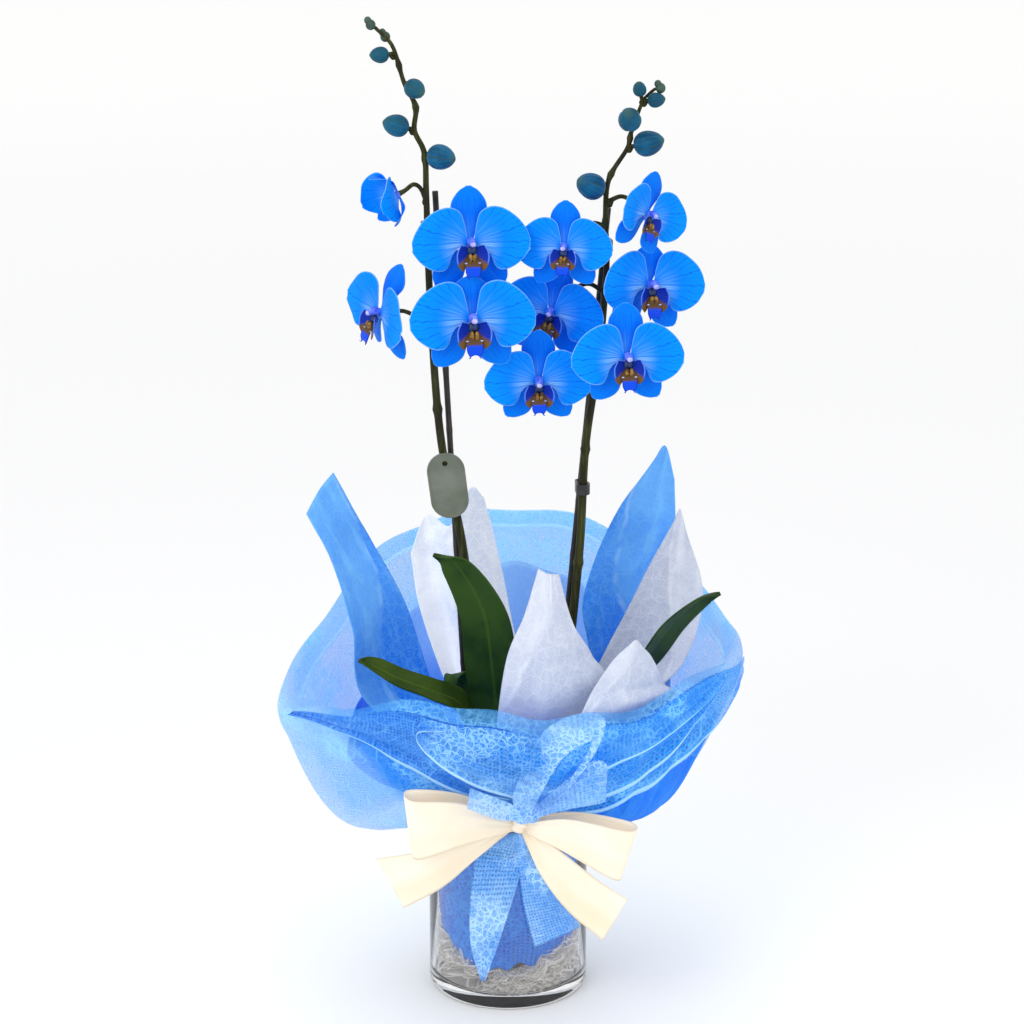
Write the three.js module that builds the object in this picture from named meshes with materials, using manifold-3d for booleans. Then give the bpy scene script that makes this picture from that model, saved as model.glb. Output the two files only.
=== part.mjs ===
// A two-spiked moth orchid in its nursery pot, wrapped in net and paper, standing in a glass vase.
// Millimetres, +Z up, the origin at the middle of the vase's foot, the front towards -Y.
import * as THREE from 'three';
import { mergeVertices } from 'three/addons/utils/BufferGeometryUtils.js';
import Module from 'manifold-3d';

const wasm = await Module();
wasm.setup();

// Driving dimensions
const GAP = 0.3;
const VASE_RADIUS = 60;
const VASE_HEIGHT = 145;
const VASE_WALL = 3;
const VASE_FLOOR = 10;
const VASE_CORNER = 4.5;
const POT_BASE = 22;
const POT_TOP = 125;
const POT_FOOT_RADIUS = 34;
const POT_WALL_TOP_RADIUS = 46.5;
const POT_RIM_RADIUS = 50;
const POT_RIM_HEIGHT = 7;
const POT_WALL = 1.2;
const BARK_TOP = 118;
const HOLE_FLOOR = 100;
const NECK_RADIUS = 46;
const NECK_TOP = 166;
const NET = 1;
const PAPER = 0.8;
const SATIN = 0.8;
const PETAL = 0.8;
const SPIKE_RADIUS = 3.5;
const STAKE_RADIUS = 2.2;
const PEDICEL_RADIUS = 1.6;
const CORE_RADIUS = 5.1;

const finish = (color, roughness, metalness = 0) => ({ color, roughness, metalness });
const FINISHES = {
  glass: finish(0xe4eaee, 0.05),
  potPlastic: finish(0x6b3a22, 0.5),
  bark: finish(0x4a2f1d, 0.95),
  shreds: finish(0xd9cfc2, 0.8),
  net: finish(0x5aa2ee, 0.8),
  paleNet: finish(0x9cc8f4, 0.8),
  bluePaper: finish(0x2f80e8, 0.85),
  whitePaper: finish(0xe6ebf8, 0.85),
  satin: finish(0xf6e8cb, 0.35),
  petal: finish(0x0b7af0, 0.55),
  lip: finish(0x1420b8, 0.45),
  bud: finish(0x1c6c96, 0.5),
  leaf: finish(0x173d17, 0.4),
  oliveLeaf: finish(0x3d5a1c, 0.4),
  crown: finish(0x35501f, 0.6),
  stem: finish(0x3a3a1c, 0.5),
  stake: finish(0x1c1a18, 0.6),
  clip: finish(0x0f0f10, 0.4),
  tag: finish(0x8fa396, 0.4),
};

const model = new THREE.Group();
const rad = THREE.MathUtils.degToRad;
const vec = ([x, y, z]) => new THREE.Vector3(x, y, z);
const polar = (radius, degrees, z) => [radius * Math.cos(rad(degrees)), radius * Math.sin(rad(degrees)), z];
const curve = (points, closed = false) => new THREE.CatmullRomCurve3(points.map(vec), closed, 'catmullrom');

function add(name, geometry, finishName, parent = model) {
  const mesh = new THREE.Mesh(geometry, new THREE.MeshStandardMaterial(FINISHES[finishName]));
  mesh.name = name;
  parent.add(mesh);
  return mesh;
}

// One skin with shared corners and no empty triangles
function weld(geometry) {
  const bare = geometry.clone();
  bare.deleteAttribute('normal');
  bare.deleteAttribute('uv');
  const merged = mergeVertices(bare, 1e-3);
  const index = merged.index.array;
  const kept = [];
  for (let i = 0; i < index.length; i += 3) {
    const [a, b, c] = [index[i], index[i + 1], index[i + 2]];
    if (a !== b && b !== c && c !== a) {
      kept.push(a, b, c);
    }
  }
  merged.setIndex(kept);
  return merged;
}

function solid(geometry) {
  const welded = weld(geometry);
  const vertProperties = new Float32Array(welded.attributes.position.array);
  const triVerts = new Uint32Array(welded.index.array);
  return new wasm.Manifold(new wasm.Mesh({ numProp: 3, vertProperties, triVerts }));
}

function skinOf(body) {
  const mesh = body.getMesh();
  const geometry = new THREE.BufferGeometry();
  geometry.setAttribute('position', new THREE.BufferAttribute(mesh.vertProperties, 3));
  geometry.setIndex(new THREE.BufferAttribute(mesh.triVerts, 1));
  return geometry;
}

function fuse(geometries) {
  return skinOf(geometries.map(solid).reduce((body, other) => body.add(other)));
}

function cut(geometry, tools) {
  return skinOf(tools.map(solid).reduce((body, tool) => body.subtract(tool), solid(geometry)));
}

// A thin blade over surface(u, v), its two faces split into triangles alike
function blade(surface, nu, nv, thickness) {
  const grid = new THREE.PlaneGeometry(1, 1, nu, nv);
  const { position, uv } = grid.attributes;
  for (let i = 0; i < position.count; i += 1) {
    const point = surface(uv.getX(i), uv.getY(i));
    position.setXYZ(i, point.x, point.y, point.z);
  }
  const face = weld(grid);
  face.computeVertexNormals();
  const count = face.attributes.position.count;
  const places = new Float32Array(count * 6);
  for (let i = 0; i < count; i += 1) {
    const middle = new THREE.Vector3().fromBufferAttribute(face.attributes.position, i);
    const step = new THREE.Vector3().fromBufferAttribute(face.attributes.normal, i);
    step.setLength(thickness / 2);
    middle.clone().add(step).toArray(places, i * 3);
    middle.sub(step).toArray(places, (count + i) * 3);
  }
  const front = Array.from(face.index.array);
  const index = [...front];
  const edges = new Set();
  for (let i = 0; i < front.length; i += 3) {
    const [a, b, c] = front.slice(i, i + 3);
    index.push(count + a, count + c, count + b);
    [`${a},${b}`, `${b},${c}`, `${c},${a}`].forEach((edge) => edges.add(edge));
  }
  edges.forEach((edge) => {
    const [a, b] = edge.split(',').map(Number);
    if (!edges.has(`${b},${a}`)) {
      index.push(b, a, count + a, b, count + a, count + b);
    }
  });
  const geometry = new THREE.BufferGeometry();
  geometry.setAttribute('position', new THREE.BufferAttribute(places, 3));
  geometry.setIndex(index);
  return geometry;
}

// A smooth surface through rails: u runs along every rail, v from the first rail to the last
function through(rails) {
  const paths = rails.map((rail) => curve(rail));
  return (u, v) => curve(paths.map((path) => path.getPoint(u).toArray())).getPoint(v);
}

// A round stem along a smooth path, its radius following the listed values from end to end
function stem(points, radii, steps, sides) {
  const path = curve(points);
  const frames = path.computeFrenetFrames(steps);
  const body = new THREE.CylinderGeometry(1, 1, 1, sides, steps);
  const { position } = body.attributes;
  for (let i = 0; i < position.count; i += 1) {
    const k = Math.round((position.getY(i) + 0.5) * steps);
    const reach = (k / steps) * (radii.length - 1);
    const start = Math.min(Math.floor(reach), radii.length - 2);
    const radius = THREE.MathUtils.lerp(radii[start], radii[start + 1], reach - start);
    const place = path.getPointAt(k / steps);
    place.addScaledVector(frames.normals[k], radius * position.getX(i));
    place.addScaledVector(frames.binormals[k], -radius * position.getZ(i));
    position.setXYZ(i, place.x, place.y, place.z);
  }
  return weld(body);
}

// A body turned about the upright axis from [radius, height] pairs that start and end on the axis
function turned(profile, segments) {
  const outline = profile.map(([radius, height]) => new THREE.Vector2(radius, height));
  return weld(new THREE.LatheGeometry(outline, segments).rotateX(Math.PI / 2));
}

function ellipsoid([x, y, z], [rx, ry, rz], around = 8, down = 6) {
  return new THREE.SphereGeometry(1, around, down).scale(rx, ry, rz).translate(x, y, z);
}

function arc(cx, cy, radius, from, to, steps) {
  return Array.from({ length: steps + 1 }, (_, i) => {
    const angle = rad(from + ((to - from) * i) / steps);
    return [cx + radius * Math.cos(angle), cy + radius * Math.sin(angle)];
  });
}

// The glass vase, a plain cylinder with a thick floor
function vase() {
  const inner = VASE_RADIUS - VASE_WALL;
  const lip = VASE_WALL / 2;
  return turned([
    [0, 0],
    ...arc(VASE_RADIUS - VASE_CORNER, VASE_CORNER, VASE_CORNER, -90, 0, 3),
    ...arc(VASE_RADIUS - lip, VASE_HEIGHT - lip, lip, 0, 180, 4),
    ...arc(inner - 2, VASE_FLOOR + 2, 2, 0, -90, 1),
    [0, VASE_FLOOR],
  ], 32);
}

// The nursery pot, open at the top
function pot() {
  const shoulder = POT_TOP - POT_RIM_HEIGHT;
  return turned([
    [0, POT_BASE],
    [POT_FOOT_RADIUS, POT_BASE],
    [POT_WALL_TOP_RADIUS, shoulder],
    [POT_RIM_RADIUS, shoulder + 1],
    [POT_RIM_RADIUS, POT_TOP],
    [POT_WALL_TOP_RADIUS - POT_WALL, POT_TOP],
    [POT_WALL_TOP_RADIUS - POT_WALL, shoulder],
    [POT_FOOT_RADIUS - POT_WALL, POT_BASE + POT_WALL],
    [0, POT_BASE + POT_WALL],
  ], 24);
}

// Places where stems enter the bark: middle and radius
const CROWN_HOLE = [0, 5, 9];
const SPIKE_HOLES = { left: [-20, 12], right: [22, 6] };
// Straight black support canes, from their holes in the bark
const STAKES = {
  left: [[-26, 24, HOLE_FLOOR + GAP], [-52, 13, 612]],
  right: [[27.5, 20, HOLE_FLOOR + GAP], [72, 12, 600]],
};

function bark() {
  const clear = POT_WALL + GAP;
  const shoulder = POT_TOP - POT_RIM_HEIGHT;
  const body = turned([
    [0, POT_BASE + clear],
    [POT_FOOT_RADIUS - clear - 0.3, POT_BASE + clear],
    [POT_WALL_TOP_RADIUS - clear, shoulder],
    [POT_WALL_TOP_RADIUS - clear - 1.5, BARK_TOP],
    [0, BARK_TOP],
  ], 24);
  const depth = BARK_TOP - HOLE_FLOOR + 5;
  const hole = ([x, y], radius) => new THREE.CylinderGeometry(radius, radius, depth, 10)
    .rotateX(Math.PI / 2)
    .translate(x, y, HOLE_FLOOR + depth / 2);
  const slant = ([low, high]) => {
    const radius = STAKE_RADIUS + 2 * GAP;
    const direction = vec(high).sub(vec(low));
    const top = vec(low).addScaledVector(direction, (depth / direction.z));
    return stem([[low[0], low[1], HOLE_FLOOR], top.toArray()], [radius, radius], 1, 8);
  };
  return cut(body, [
    hole(CROWN_HOLE, CROWN_HOLE[2] + 2 * GAP),
    ...Object.values(SPIKE_HOLES).map((place) => hole(place, SPIKE_RADIUS + 2 * GAP)),
    ...Object.values(STAKES).map(slant),
  ]);
}

// How far a direction is from the sides, 1 straight in front, where the wrap hangs down against the glass
const frontShare = (angle, narrow) => Math.max(0, -Math.sin(angle)) ** narrow;

// The bed of crumpled organza shreds between vase and pot, ragged on top and low in front
function shreds() {
  const outer = VASE_RADIUS - VASE_WALL - GAP;
  const floor = VASE_FLOOR + GAP;
  const still = 22;
  const climb = 38;
  const body = turned([
    [0, floor],
    [outer - 2, floor],
    [outer, floor + 2],
    [outer, 58],
    [outer - 1.5, 60],
    [48.5, 44],
    [44.5, 32],
    [38, POT_BASE - GAP],
    [0, POT_BASE - GAP],
  ], 30);
  const { position } = body.attributes;
  for (let i = 0; i < position.count; i += 1) {
    const [x, y, z] = [position.getX(i), position.getY(i), position.getZ(i)];
    const angle = Math.atan2(y, x);
    if (z > still) {
      const share = (z - still) / climb;
      const ragged = share * (5 * Math.sin(5 * angle + 1) + 3 * Math.sin(9 * angle) + 2);
      const low = frontShare(angle, 2);
      position.setZ(i, z + ragged * (1 - low) - 0.94 * low * (z - still));
    }
  }
  return body;
}

// The lower part of the net wrap, loose round the pot, with a wavy hem, full and long in front
const SLEEVE_FULLNESS = 13;

function sleeve() {
  const rail = curve([
    [38.6, 0, 36], [42.5, 0, 50], [49.6, 0, 66], [51.8, 0, 84], [52.4, 0, 104], [51.8, 0, 121],
  ]);
  return blade((u, v) => {
    const angle = 360 * u;
    const { x: radius, z } = rail.getPoint(v);
    const low = frontShare(rad(angle), 5);
    const full = SLEEVE_FULLNESS * low * (1 - v) ** 1.5;
    const ripple = 0.8 * (1 - v) * Math.sin(rad(9 * angle));
    const hem = (1 - v) ** 2 * (4 * Math.sin(rad(4 * angle + 40)) - 8 * low);
    return vec(polar(radius + full + ripple, angle, z + hem));
  }, 26, 5, NET);
}

// Rim of the net bowl, from the right, round the back
const BOWL_RIM = [
  [175, 0, 268],
  [149, 110, 280],
  [80, 155, 311],
  [10, 166, 325],
  [-84, 126, 318],
  [-142, 70, 268],
  [-171, -20, 232],
  [-122, -85, 247],
  [-60, -112, 257],
  [16, -118, 253],
  [94, -95, 252],
  [150, -52, 254],
];

// The hem that is turned in at the rim: its width, its height over the rim and how far its end hangs
const CUFF_WIDTH = 15;
const CUFF_ROUND = 4;
const CUFF_DROP = 9;

// A bowl of gathered cloth: a foot on the pot, a neck, then a full round side that sags where it is free
function bowl({ foot, neck, reach, drop, sag, pleats, rows, cuffRows }) {
  const rim = curve(BOWL_RIM, true);
  const footShare = 2 / rows;
  const cuffShare = 1 - cuffRows / rows;
  return (u, v) => {
    const edge = rim.getPoint(u % 1);
    const angle = Math.atan2(edge.y, edge.x);
    const span = Math.hypot(edge.x, edge.y) * reach;
    const top = edge.z - drop;
    if (v <= footShare) {
      const up = v / footShare;
      const radius = THREE.MathUtils.lerp(foot[0], neck[0], Math.min(1, up * 2));
      const z = THREE.MathUtils.lerp(foot[1], neck[1], up);
      return new THREE.Vector3(radius * Math.cos(angle), radius * Math.sin(angle), z);
    }
    const s = Math.min(1, (v - footShare) / (cuffShare - footShare));
    const front = Math.max(0, -Math.sin(angle)) ** 3;
    const right = Math.max(0, Math.cos(angle)) ** 2;
    const out = Math.sin((s * Math.PI) / 2) ** (1 + 1.2 * front + 0.5 * right);
    const rise = 1 - Math.cos((s * Math.PI) / 2);
    const belly = Math.sin(Math.PI * Math.min(1, s / 0.8)) ** 1.5;
    const droop = sag * (1 - front) * (1 - 0.1 * right) * belly;
    const ripple = pleats * Math.sin(Math.PI * Math.min(1, s * 1.1)) * Math.cos(9 * angle + 0.6);
    let radius = neck[0] + (span - neck[0]) * out + ripple;
    let z = neck[1] + (top - neck[1]) * rise - droop;
    if (v > cuffShare) {
      const turn = (v - cuffShare) / (1 - cuffShare);
      radius -= CUFF_WIDTH * turn;
      z += CUFF_ROUND * Math.sin(Math.PI * turn) - CUFF_DROP * turn * turn;
    }
    return new THREE.Vector3(radius * Math.cos(angle), radius * Math.sin(angle), z);
  };
}

const NET_BOWL = {
  foot: [48.5, POT_TOP + GAP],
  neck: [NECK_RADIUS, NECK_TOP],
  reach: 1,
  drop: 0,
  sag: 42,
  pleats: 2.5,
  rows: 12,
  cuffRows: 2,
};
const PAPER_BOWL = {
  foot: [42.8, BARK_TOP + GAP],
  neck: [NECK_RADIUS - 4, NECK_TOP + 2],
  reach: 0.7,
  drop: 32,
  sag: 10,
  pleats: 1.5,
  rows: 6,
  cuffRows: 0,
};

// Sheets of stiff non-woven paper: each has its foot on the bark inside the neck and fans out above
const SHEETS = {
  blue_sheet_left: {
    finish: 'bluePaper',
    foot: [36, 176, 12],
    rails: [
      [[-106, -8, 229], [-115, -8, 286], [-129, -5, 336], [-148, 0, 374]],
      [[-85, 20, 228], [-97, 25, 294], [-118, 25, 341], [-139, 15, 388]],
      [[-58, 36, 228], [-78, 42, 291], [-102, 38, 340], [-129, 22, 399]],
    ],
  },
  blue_sheet_right: {
    finish: 'bluePaper',
    foot: [37, 60, 14],
    rails: [
      [[114, 42, 254], [121, 48, 299], [126, 53, 344], [125, 52, 384]],
      [[86, 50, 243], [89, 56, 296], [104, 60, 350], [118, 55, 410]],
      [[59, 46, 236], [57, 57, 287], [79, 60, 350], [109, 55, 398]],
    ],
  },
  white_sheet_right: {
    finish: 'whitePaper',
    foot: [37, 8, 13],
    rails: [
      [[113, 6, 234], [136, 12, 262], [146, 22, 306], [133, 32, 351]],
      [[104, 20, 249], [113, 28, 285], [120, 32, 318], [129, 36, 366]],
      [[70, 25, 250], [88, 31, 285], [105, 34, 320], [126, 36, 360]],
    ],
  },
  white_sheet_centre: {
    finish: 'whitePaper',
    foot: [36, -93, 16],
    rails: [
      [[-7, -68, 244], [0, -66, 288], [12, -60, 316], [22, -52, 349]],
      [[27, -78, 246], [29, -74, 287], [31, -64, 317], [29, -54, 346]],
      [[70, -58, 255], [61, -58, 285], [47, -56, 309], [37, -52, 345]],
    ],
  },
  white_sheet_front: {
    finish: 'whitePaper',
    foot: [36, -47, 15],
    rails: [
      [[47, -84, 238], [60, -82, 264], [75, -75, 285], [89, -68, 297]],
      [[79, -80, 244], [86, -76, 266], [91, -71, 286], [93, -66, 299]],
      [[116, -56, 247], [114, -58, 263], [105, -60, 283], [99, -62, 291]],
    ],
  },
  white_sheet_left: {
    finish: 'whitePaper',
    foot: [37, 112, 16],
    rails: [
      [[-47, 32, 229], [-66, 37, 285], [-72, 39, 322], [-73, 40, 330]],
      [[-40, 42, 229], [-52, 48, 291], [-60, 46, 335], [-61, 45, 359]],
      [[-30, 36, 231], [-38, 40, 293], [-42, 40, 335], [-43, 40, 352]],
      [[-14, 42, 228], [-20, 50, 290], [-26, 49, 340], [-28, 48, 379]],
      [[9, 44, 227], [0, 49, 290], [-10, 48, 340], [-18, 46, 372]],
    ],
  },
};

function sheetSurface({ foot: [radius, middle, spread], rails }) {
  const last = rails.length - 1;
  const full = rails.map((rail, i) => {
    const angle = middle + spread * turnOf(rails) * (1 - (2 * i) / last);
    return [polar(radius, angle, BARK_TOP + GAP), polar(radius - 1, angle, NECK_TOP + 8), ...rail];
  });
  const surface = through(full);
  return (u, v) => surface(v, u);
}

// Whether the first rail lies on the anticlockwise side of the last, seen from above
function turnOf(rails) {
  const [ax, ay] = rails[0][0];
  const [bx, by] = rails[rails.length - 1][0];
  return Math.sign(bx * ay - by * ax);
}

// Petals and sepals: outlines in the plane of the bloom, x to the right and y up, in millimetres
const PETAL_UPPER = [[3, 4], [4.5, 14], [8, 25.5], [17, 30.5], [28, 28.5], [39, 20.5], [46, 11], [49, 3]];
const PETAL_LOWER = [
  [3.5, -1.5], [11, -3.5], [16, -9], [18.5, -16], [23, -21], [32, -20.5], [42, -14], [48.5, -5],
];
const SEPAL_HALF_WIDTHS = [2.8, 4.5, 8, 12.5, 15, 14, 10, 4];
const PETAL_LENGTH = 50;
const PETAL_BELLY = 3;
const PETAL_FORWARD = 1.8;
const DORSAL_LENGTH = 47;
const LATERAL_LENGTH = 45;
const LATERAL_WIDTH = 0.87;
const SEPAL_BACK = 2.2;
const COLUMN = { tip: 2.6, root: 3.4, length: 11, middle: [0, 2.5, 8] };

// Rolls a flat point up along one axis: the arc keeps its length
function roll(distance, curl) {
  if (curl === 0) {
    return [distance, 0];
  }
  return [Math.sin(distance * curl) / curl, (1 - Math.cos(distance * curl)) / curl];
}

function petal(side, curl, thickness) {
  const lift = (points) => points.map(([x, y]) => [x, y, 0]);
  const flat = through([lift(PETAL_LOWER), lift(PETAL_UPPER)]);
  return blade((u, v) => {
    const { x, y } = flat(side > 0 ? u : 1 - u, v);
    const [across, forward] = roll(x, curl);
    const belly = PETAL_BELLY * Math.sin((Math.PI * x) / PETAL_LENGTH) - 0.05 * Math.abs(y);
    return new THREE.Vector3(side * across, y, PETAL_FORWARD + belly + forward);
  }, 5, 2, thickness);
}

function sepal(length, width, degrees, curl, thickness) {
  const halves = curve(SEPAL_HALF_WIDTHS.map((half, i) => [half * width, 0, i]));
  const geometry = blade((u, v) => {
    const half = halves.getPoint(v).x;
    const x = half * (2 * u - 1);
    const [up, forward] = roll(2 + (length - 2) * v, curl);
    return new THREE.Vector3(x, up, forward - SEPAL_BACK - 0.01 * x * x);
  }, 2, 3, thickness);
  return geometry.rotateZ(rad(degrees));
}

function bloomBody({ size, curl = 0.002, recline = 0.003, dorsal = 1, fan = 39 }) {
  const thickness = PETAL / size;
  const core = new THREE.CylinderGeometry(4, CORE_RADIUS, CORE_RADIUS + 2, 6)
    .rotateX(Math.PI / 2)
    .translate(0, 0, (2 - CORE_RADIUS) / 2);
  const column = new THREE.CylinderGeometry(COLUMN.tip, COLUMN.root, COLUMN.length, 6)
    .rotateX(Math.PI / 2)
    .translate(...COLUMN.middle);
  return fuse([
    core,
    column,
    petal(1, curl, thickness),
    petal(-1, curl, thickness),
    sepal(DORSAL_LENGTH * dorsal, 1, 0, -recline, thickness),
    sepal(LATERAL_LENGTH, LATERAL_WIDTH, 180 - fan, -recline, thickness),
    sepal(LATERAL_LENGTH, LATERAL_WIDTH, 180 + fan, -recline, thickness),
  ]).scale(size, size, size);
}

// Outer edge of the lip about its throat: two rounded side lobes and a pointed middle lobe
const LIP_ANGLES = [130, 158, 186, 214, 240, 255, 270, 285, 300, 326, 354, 382, 410];
const LIP_REACH = [11.5, 13.5, 13, 11, 8, 13.5, 17, 13.5, 8, 11, 13, 13.5, 11.5];
const LIP_THROAT = [0, -8, 6.2];
const LIP_BASE = [0, -5.6, 6.9];
const LIP_BASE_RADII = [3.8, 4.6, 4];

// The lip: one cupped blade with three lobes, on a fleshy base under the column
function lipBody({ size }) {
  const [, throat, depth] = LIP_THROAT;
  const cupped = (u, v) => {
    const k = Math.round(u * (LIP_ANGLES.length - 1));
    const angle = rad(LIP_ANGLES[k]);
    const reach = THREE.MathUtils.lerp(2, LIP_REACH[k], v);
    const forward = 0.62 - 0.3 * Math.max(0, -Math.sin(angle));
    const up = throat + reach * Math.sin(angle);
    return new THREE.Vector3(reach * Math.cos(angle), up, depth + forward * reach);
  };
  return fuse([
    ellipsoid(LIP_BASE, LIP_BASE_RADII, 6, 4),
    blade(cupped, LIP_ANGLES.length - 1, 1, PETAL / size),
  ]).scale(size, size, size);
}

// Blooms: middle, size against a span of 98, turn to the right, lift and clockwise spin in degrees,
// forward curl of the petals and backward curl of the sepals per millimetre, length of the upper sepal
const BLOOMS = [
  { name: 'a', at: [-26, -46, 587], size: 0.86, turn: 10, lift: 5, spin: 0 },
  { name: 'b', at: [-25, -58, 535], size: 0.92, turn: 10, lift: 5, spin: 0, dorsal: 0.72 },
  { name: 'c', at: [-91, -10, 528], size: 0.76, turn: -64, lift: 4, spin: 10, curl: 0.006, recline: 0.016 },
  { name: 'd', at: [-79, -10, 614], size: 0.6, turn: -60, lift: -20, spin: 0, curl: 0.036, recline: -0.03 },
  { name: 'e', at: [40, -33, 581], size: 0.71, turn: -8, lift: 5, spin: 0 },
  { name: 'f', at: [31, -8, 528], size: 0.8, turn: -10, lift: 2, spin: 8 },
  { name: 'g', at: [22, -38, 485], size: 0.8, turn: 4, lift: -6, spin: 0 },
  { name: 'h', at: [84, -60, 508], size: 0.83, turn: 9, lift: 4, spin: 0 },
  { name: 'i', at: [101, -18, 550], size: 0.84, turn: 24, lift: 4, spin: 5, curl: 0.007, dorsal: 0.75 },
  { name: 'j', at: [98, -36, 605], size: 0.67, turn: 40, lift: 0, spin: 22, curl: 0.009 },
];

// The bloom that has only half opened, its lip still hidden
const HALF_OPEN = 'd';

// Where a bloom's pedicel ends, and the point before it, both straight behind the bloom
function pedicelEnd({ at, size, turn, lift }) {
  const back = new THREE.Vector3(0, 1, 0);
  back.applyAxisAngle(new THREE.Vector3(1, 0, 0), rad(-lift));
  back.applyAxisAngle(new THREE.Vector3(0, 0, 1), rad(turn));
  const reach = CORE_RADIUS * size + GAP;
  return [reach + 6, reach].map((distance) => vec(at).addScaledVector(back, distance).toArray());
}

// Flower spikes: the main stem from the bark up, and where each bloom's and bud's stalk leaves it
const SPIKES = {
  left: {
    stem: [
      [...SPIKE_HOLES.left, HOLE_FLOOR + GAP],
      [...SPIKE_HOLES.left, BARK_TOP + 1],
      [-20, 12.5, 160],
      [-21, 14, 222],
      [-33, 12, 341],
      [-49, 8, 429],
      [-56, 5, 534],
      [-58, 3, 610],
      [-59, 2, 641],
      [-66, 2, 658],
      [-65, 2, 675],
      [-73, 2, 692],
      [-81, 2, 718],
      [-93, 2, 731],
    ],
    stalks: {
      a: [[-57, 5, 572], [-51, -6, 584], [-38, -20, 590]],
      b: [[-55, 6, 520], [-47, -8, 530], [-34, -28, 536]],
      c: [[-55, 6, 508], [-62, 6, 518], [-74, 3, 526]],
      d: [[-58, 4, 606], [-62, 3, 616], [-67, -2, 620]],
    },
    tips: [[[-93, 2, 731], [-96, 1, 733]], [[-81, 2, 718], [-86, 5, 724]]],
  },
  right: {
    stem: [
      [...SPIKE_HOLES.right, HOLE_FLOOR + GAP],
      [...SPIKE_HOLES.right, BARK_TOP + 1],
      [25, 7, 150],
      [33, 10, 190],
      [43, 12, 239],
      [53, 8, 343],
      [57, 7, 423],
      [66, 6, 490],
      [71, 5, 556],
      [70, 4, 594],
      [72, 4, 622],
      [85, 4, 645],
      [88, 4, 658],
      [96, 4, 680],
    ],
    stalks: {
      e: [[71, 4, 588], [60, -2, 592], [48, -12, 587]],
      f: [[71, 5, 538], [58, 9, 545], [42, 7, 538]],
      g: [[66, 6, 490], [54, 2, 480], [36, -12, 479]],
      h: [[66, 6, 488], [76, -18, 492], [83, -38, 502]],
      i: [[71, 5, 554], [82, 1, 557], [90, -8, 556]],
      j: [[71, 4, 606], [81, 0, 611], [89, -12, 609]],
    },
    tips: [[[96, 4, 680], [104, 5, 687], [108, 3, 688]]],
  },
};

// Buds: the point on the stem that it hangs from, its middle and its half width
const BUDS = [
  { name: 'bud_left_1', spike: 'left', from: [-59, 2, 641], middle: [-47, -4, 640], radius: 9 },
  { name: 'bud_left_2', spike: 'left', from: [-66, 2, 658], middle: [-79, 0, 662], radius: 8 },
  { name: 'bud_left_3', spike: 'left', from: [-73, 2, 692], middle: [-65, -7, 689], radius: 7 },
  { name: 'bud_left_4', spike: 'left', from: [-79, 2, 712], middle: [-90, 0, 712], radius: 5.8 },
  { name: 'bud_right_1', spike: 'right', from: [71.5, 4, 612], middle: [59, -2, 619], radius: 9.4 },
  { name: 'bud_right_2', spike: 'right', from: [85, 4, 645], middle: [100, 2, 649], radius: 9.2 },
  { name: 'bud_right_3', spike: 'right', from: [88, 4, 658], middle: [86, -8, 668], radius: 8.2 },
  { name: 'bud_right_4', spike: 'right', from: [95, 4, 678], middle: [93, 0, 688], radius: 4.8 },
  { name: 'bud_right_5', spike: 'right', from: [95, 4, 678], middle: [105, 1, 680], radius: 5.4 },
];
const BUD_LENGTH = 1.18;

function budSolid({ radius }) {
  const geometry = new THREE.SphereGeometry(1, 9, 5);
  const { position } = geometry.attributes;
  for (let i = 0; i < position.count; i += 1) {
    const [x, y, z] = [position.getX(i), position.getY(i), position.getZ(i)];
    const seam = 1 + 0.05 * Math.cos(3 * Math.atan2(z, x));
    const full = radius * seam * (1 - 0.14 * y);
    position.setXYZ(i, x * full, y * radius * BUD_LENGTH, z * full);
  }
  return weld(geometry);
}

const SPIKE_RADII = [SPIKE_RADIUS, SPIKE_RADIUS, 3.2, 2.8, 2.2, 1.3];
const BUD_STALK_RADIUS = 1.2;
const TIP_RADII = [3.4, 3, 3.6];

function spike({ stem: points, stalks, tips }, side) {
  const parts = [stem(points, SPIKE_RADII, 34, 6)];
  Object.entries(stalks).forEach(([name, path]) => {
    const bloom = BLOOMS.find((item) => item.name === name);
    parts.push(stem([...path, ...pedicelEnd(bloom)], [PEDICEL_RADIUS, PEDICEL_RADIUS], 4, 5));
  });
  BUDS.filter((bud) => bud.spike === side).forEach(({ from, middle, radius }) => {
    const start = vec(from);
    const along = vec(middle).sub(start);
    along.setLength(along.length() - radius * BUD_LENGTH - GAP);
    const end = start.clone().add(along);
    const path = [from, start.lerp(end, 0.5).toArray(), end.toArray()];
    parts.push(stem(path, [BUD_STALK_RADIUS, BUD_STALK_RADIUS], 1, 5));
  });
  tips.forEach((path) => {
    parts.push(stem(path, [BUD_STALK_RADIUS, 1], 2, 5));
    parts.push(ellipsoid(path[path.length - 1], TIP_RADII, 6, 4));
  });
  return fuse(parts);
}

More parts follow.
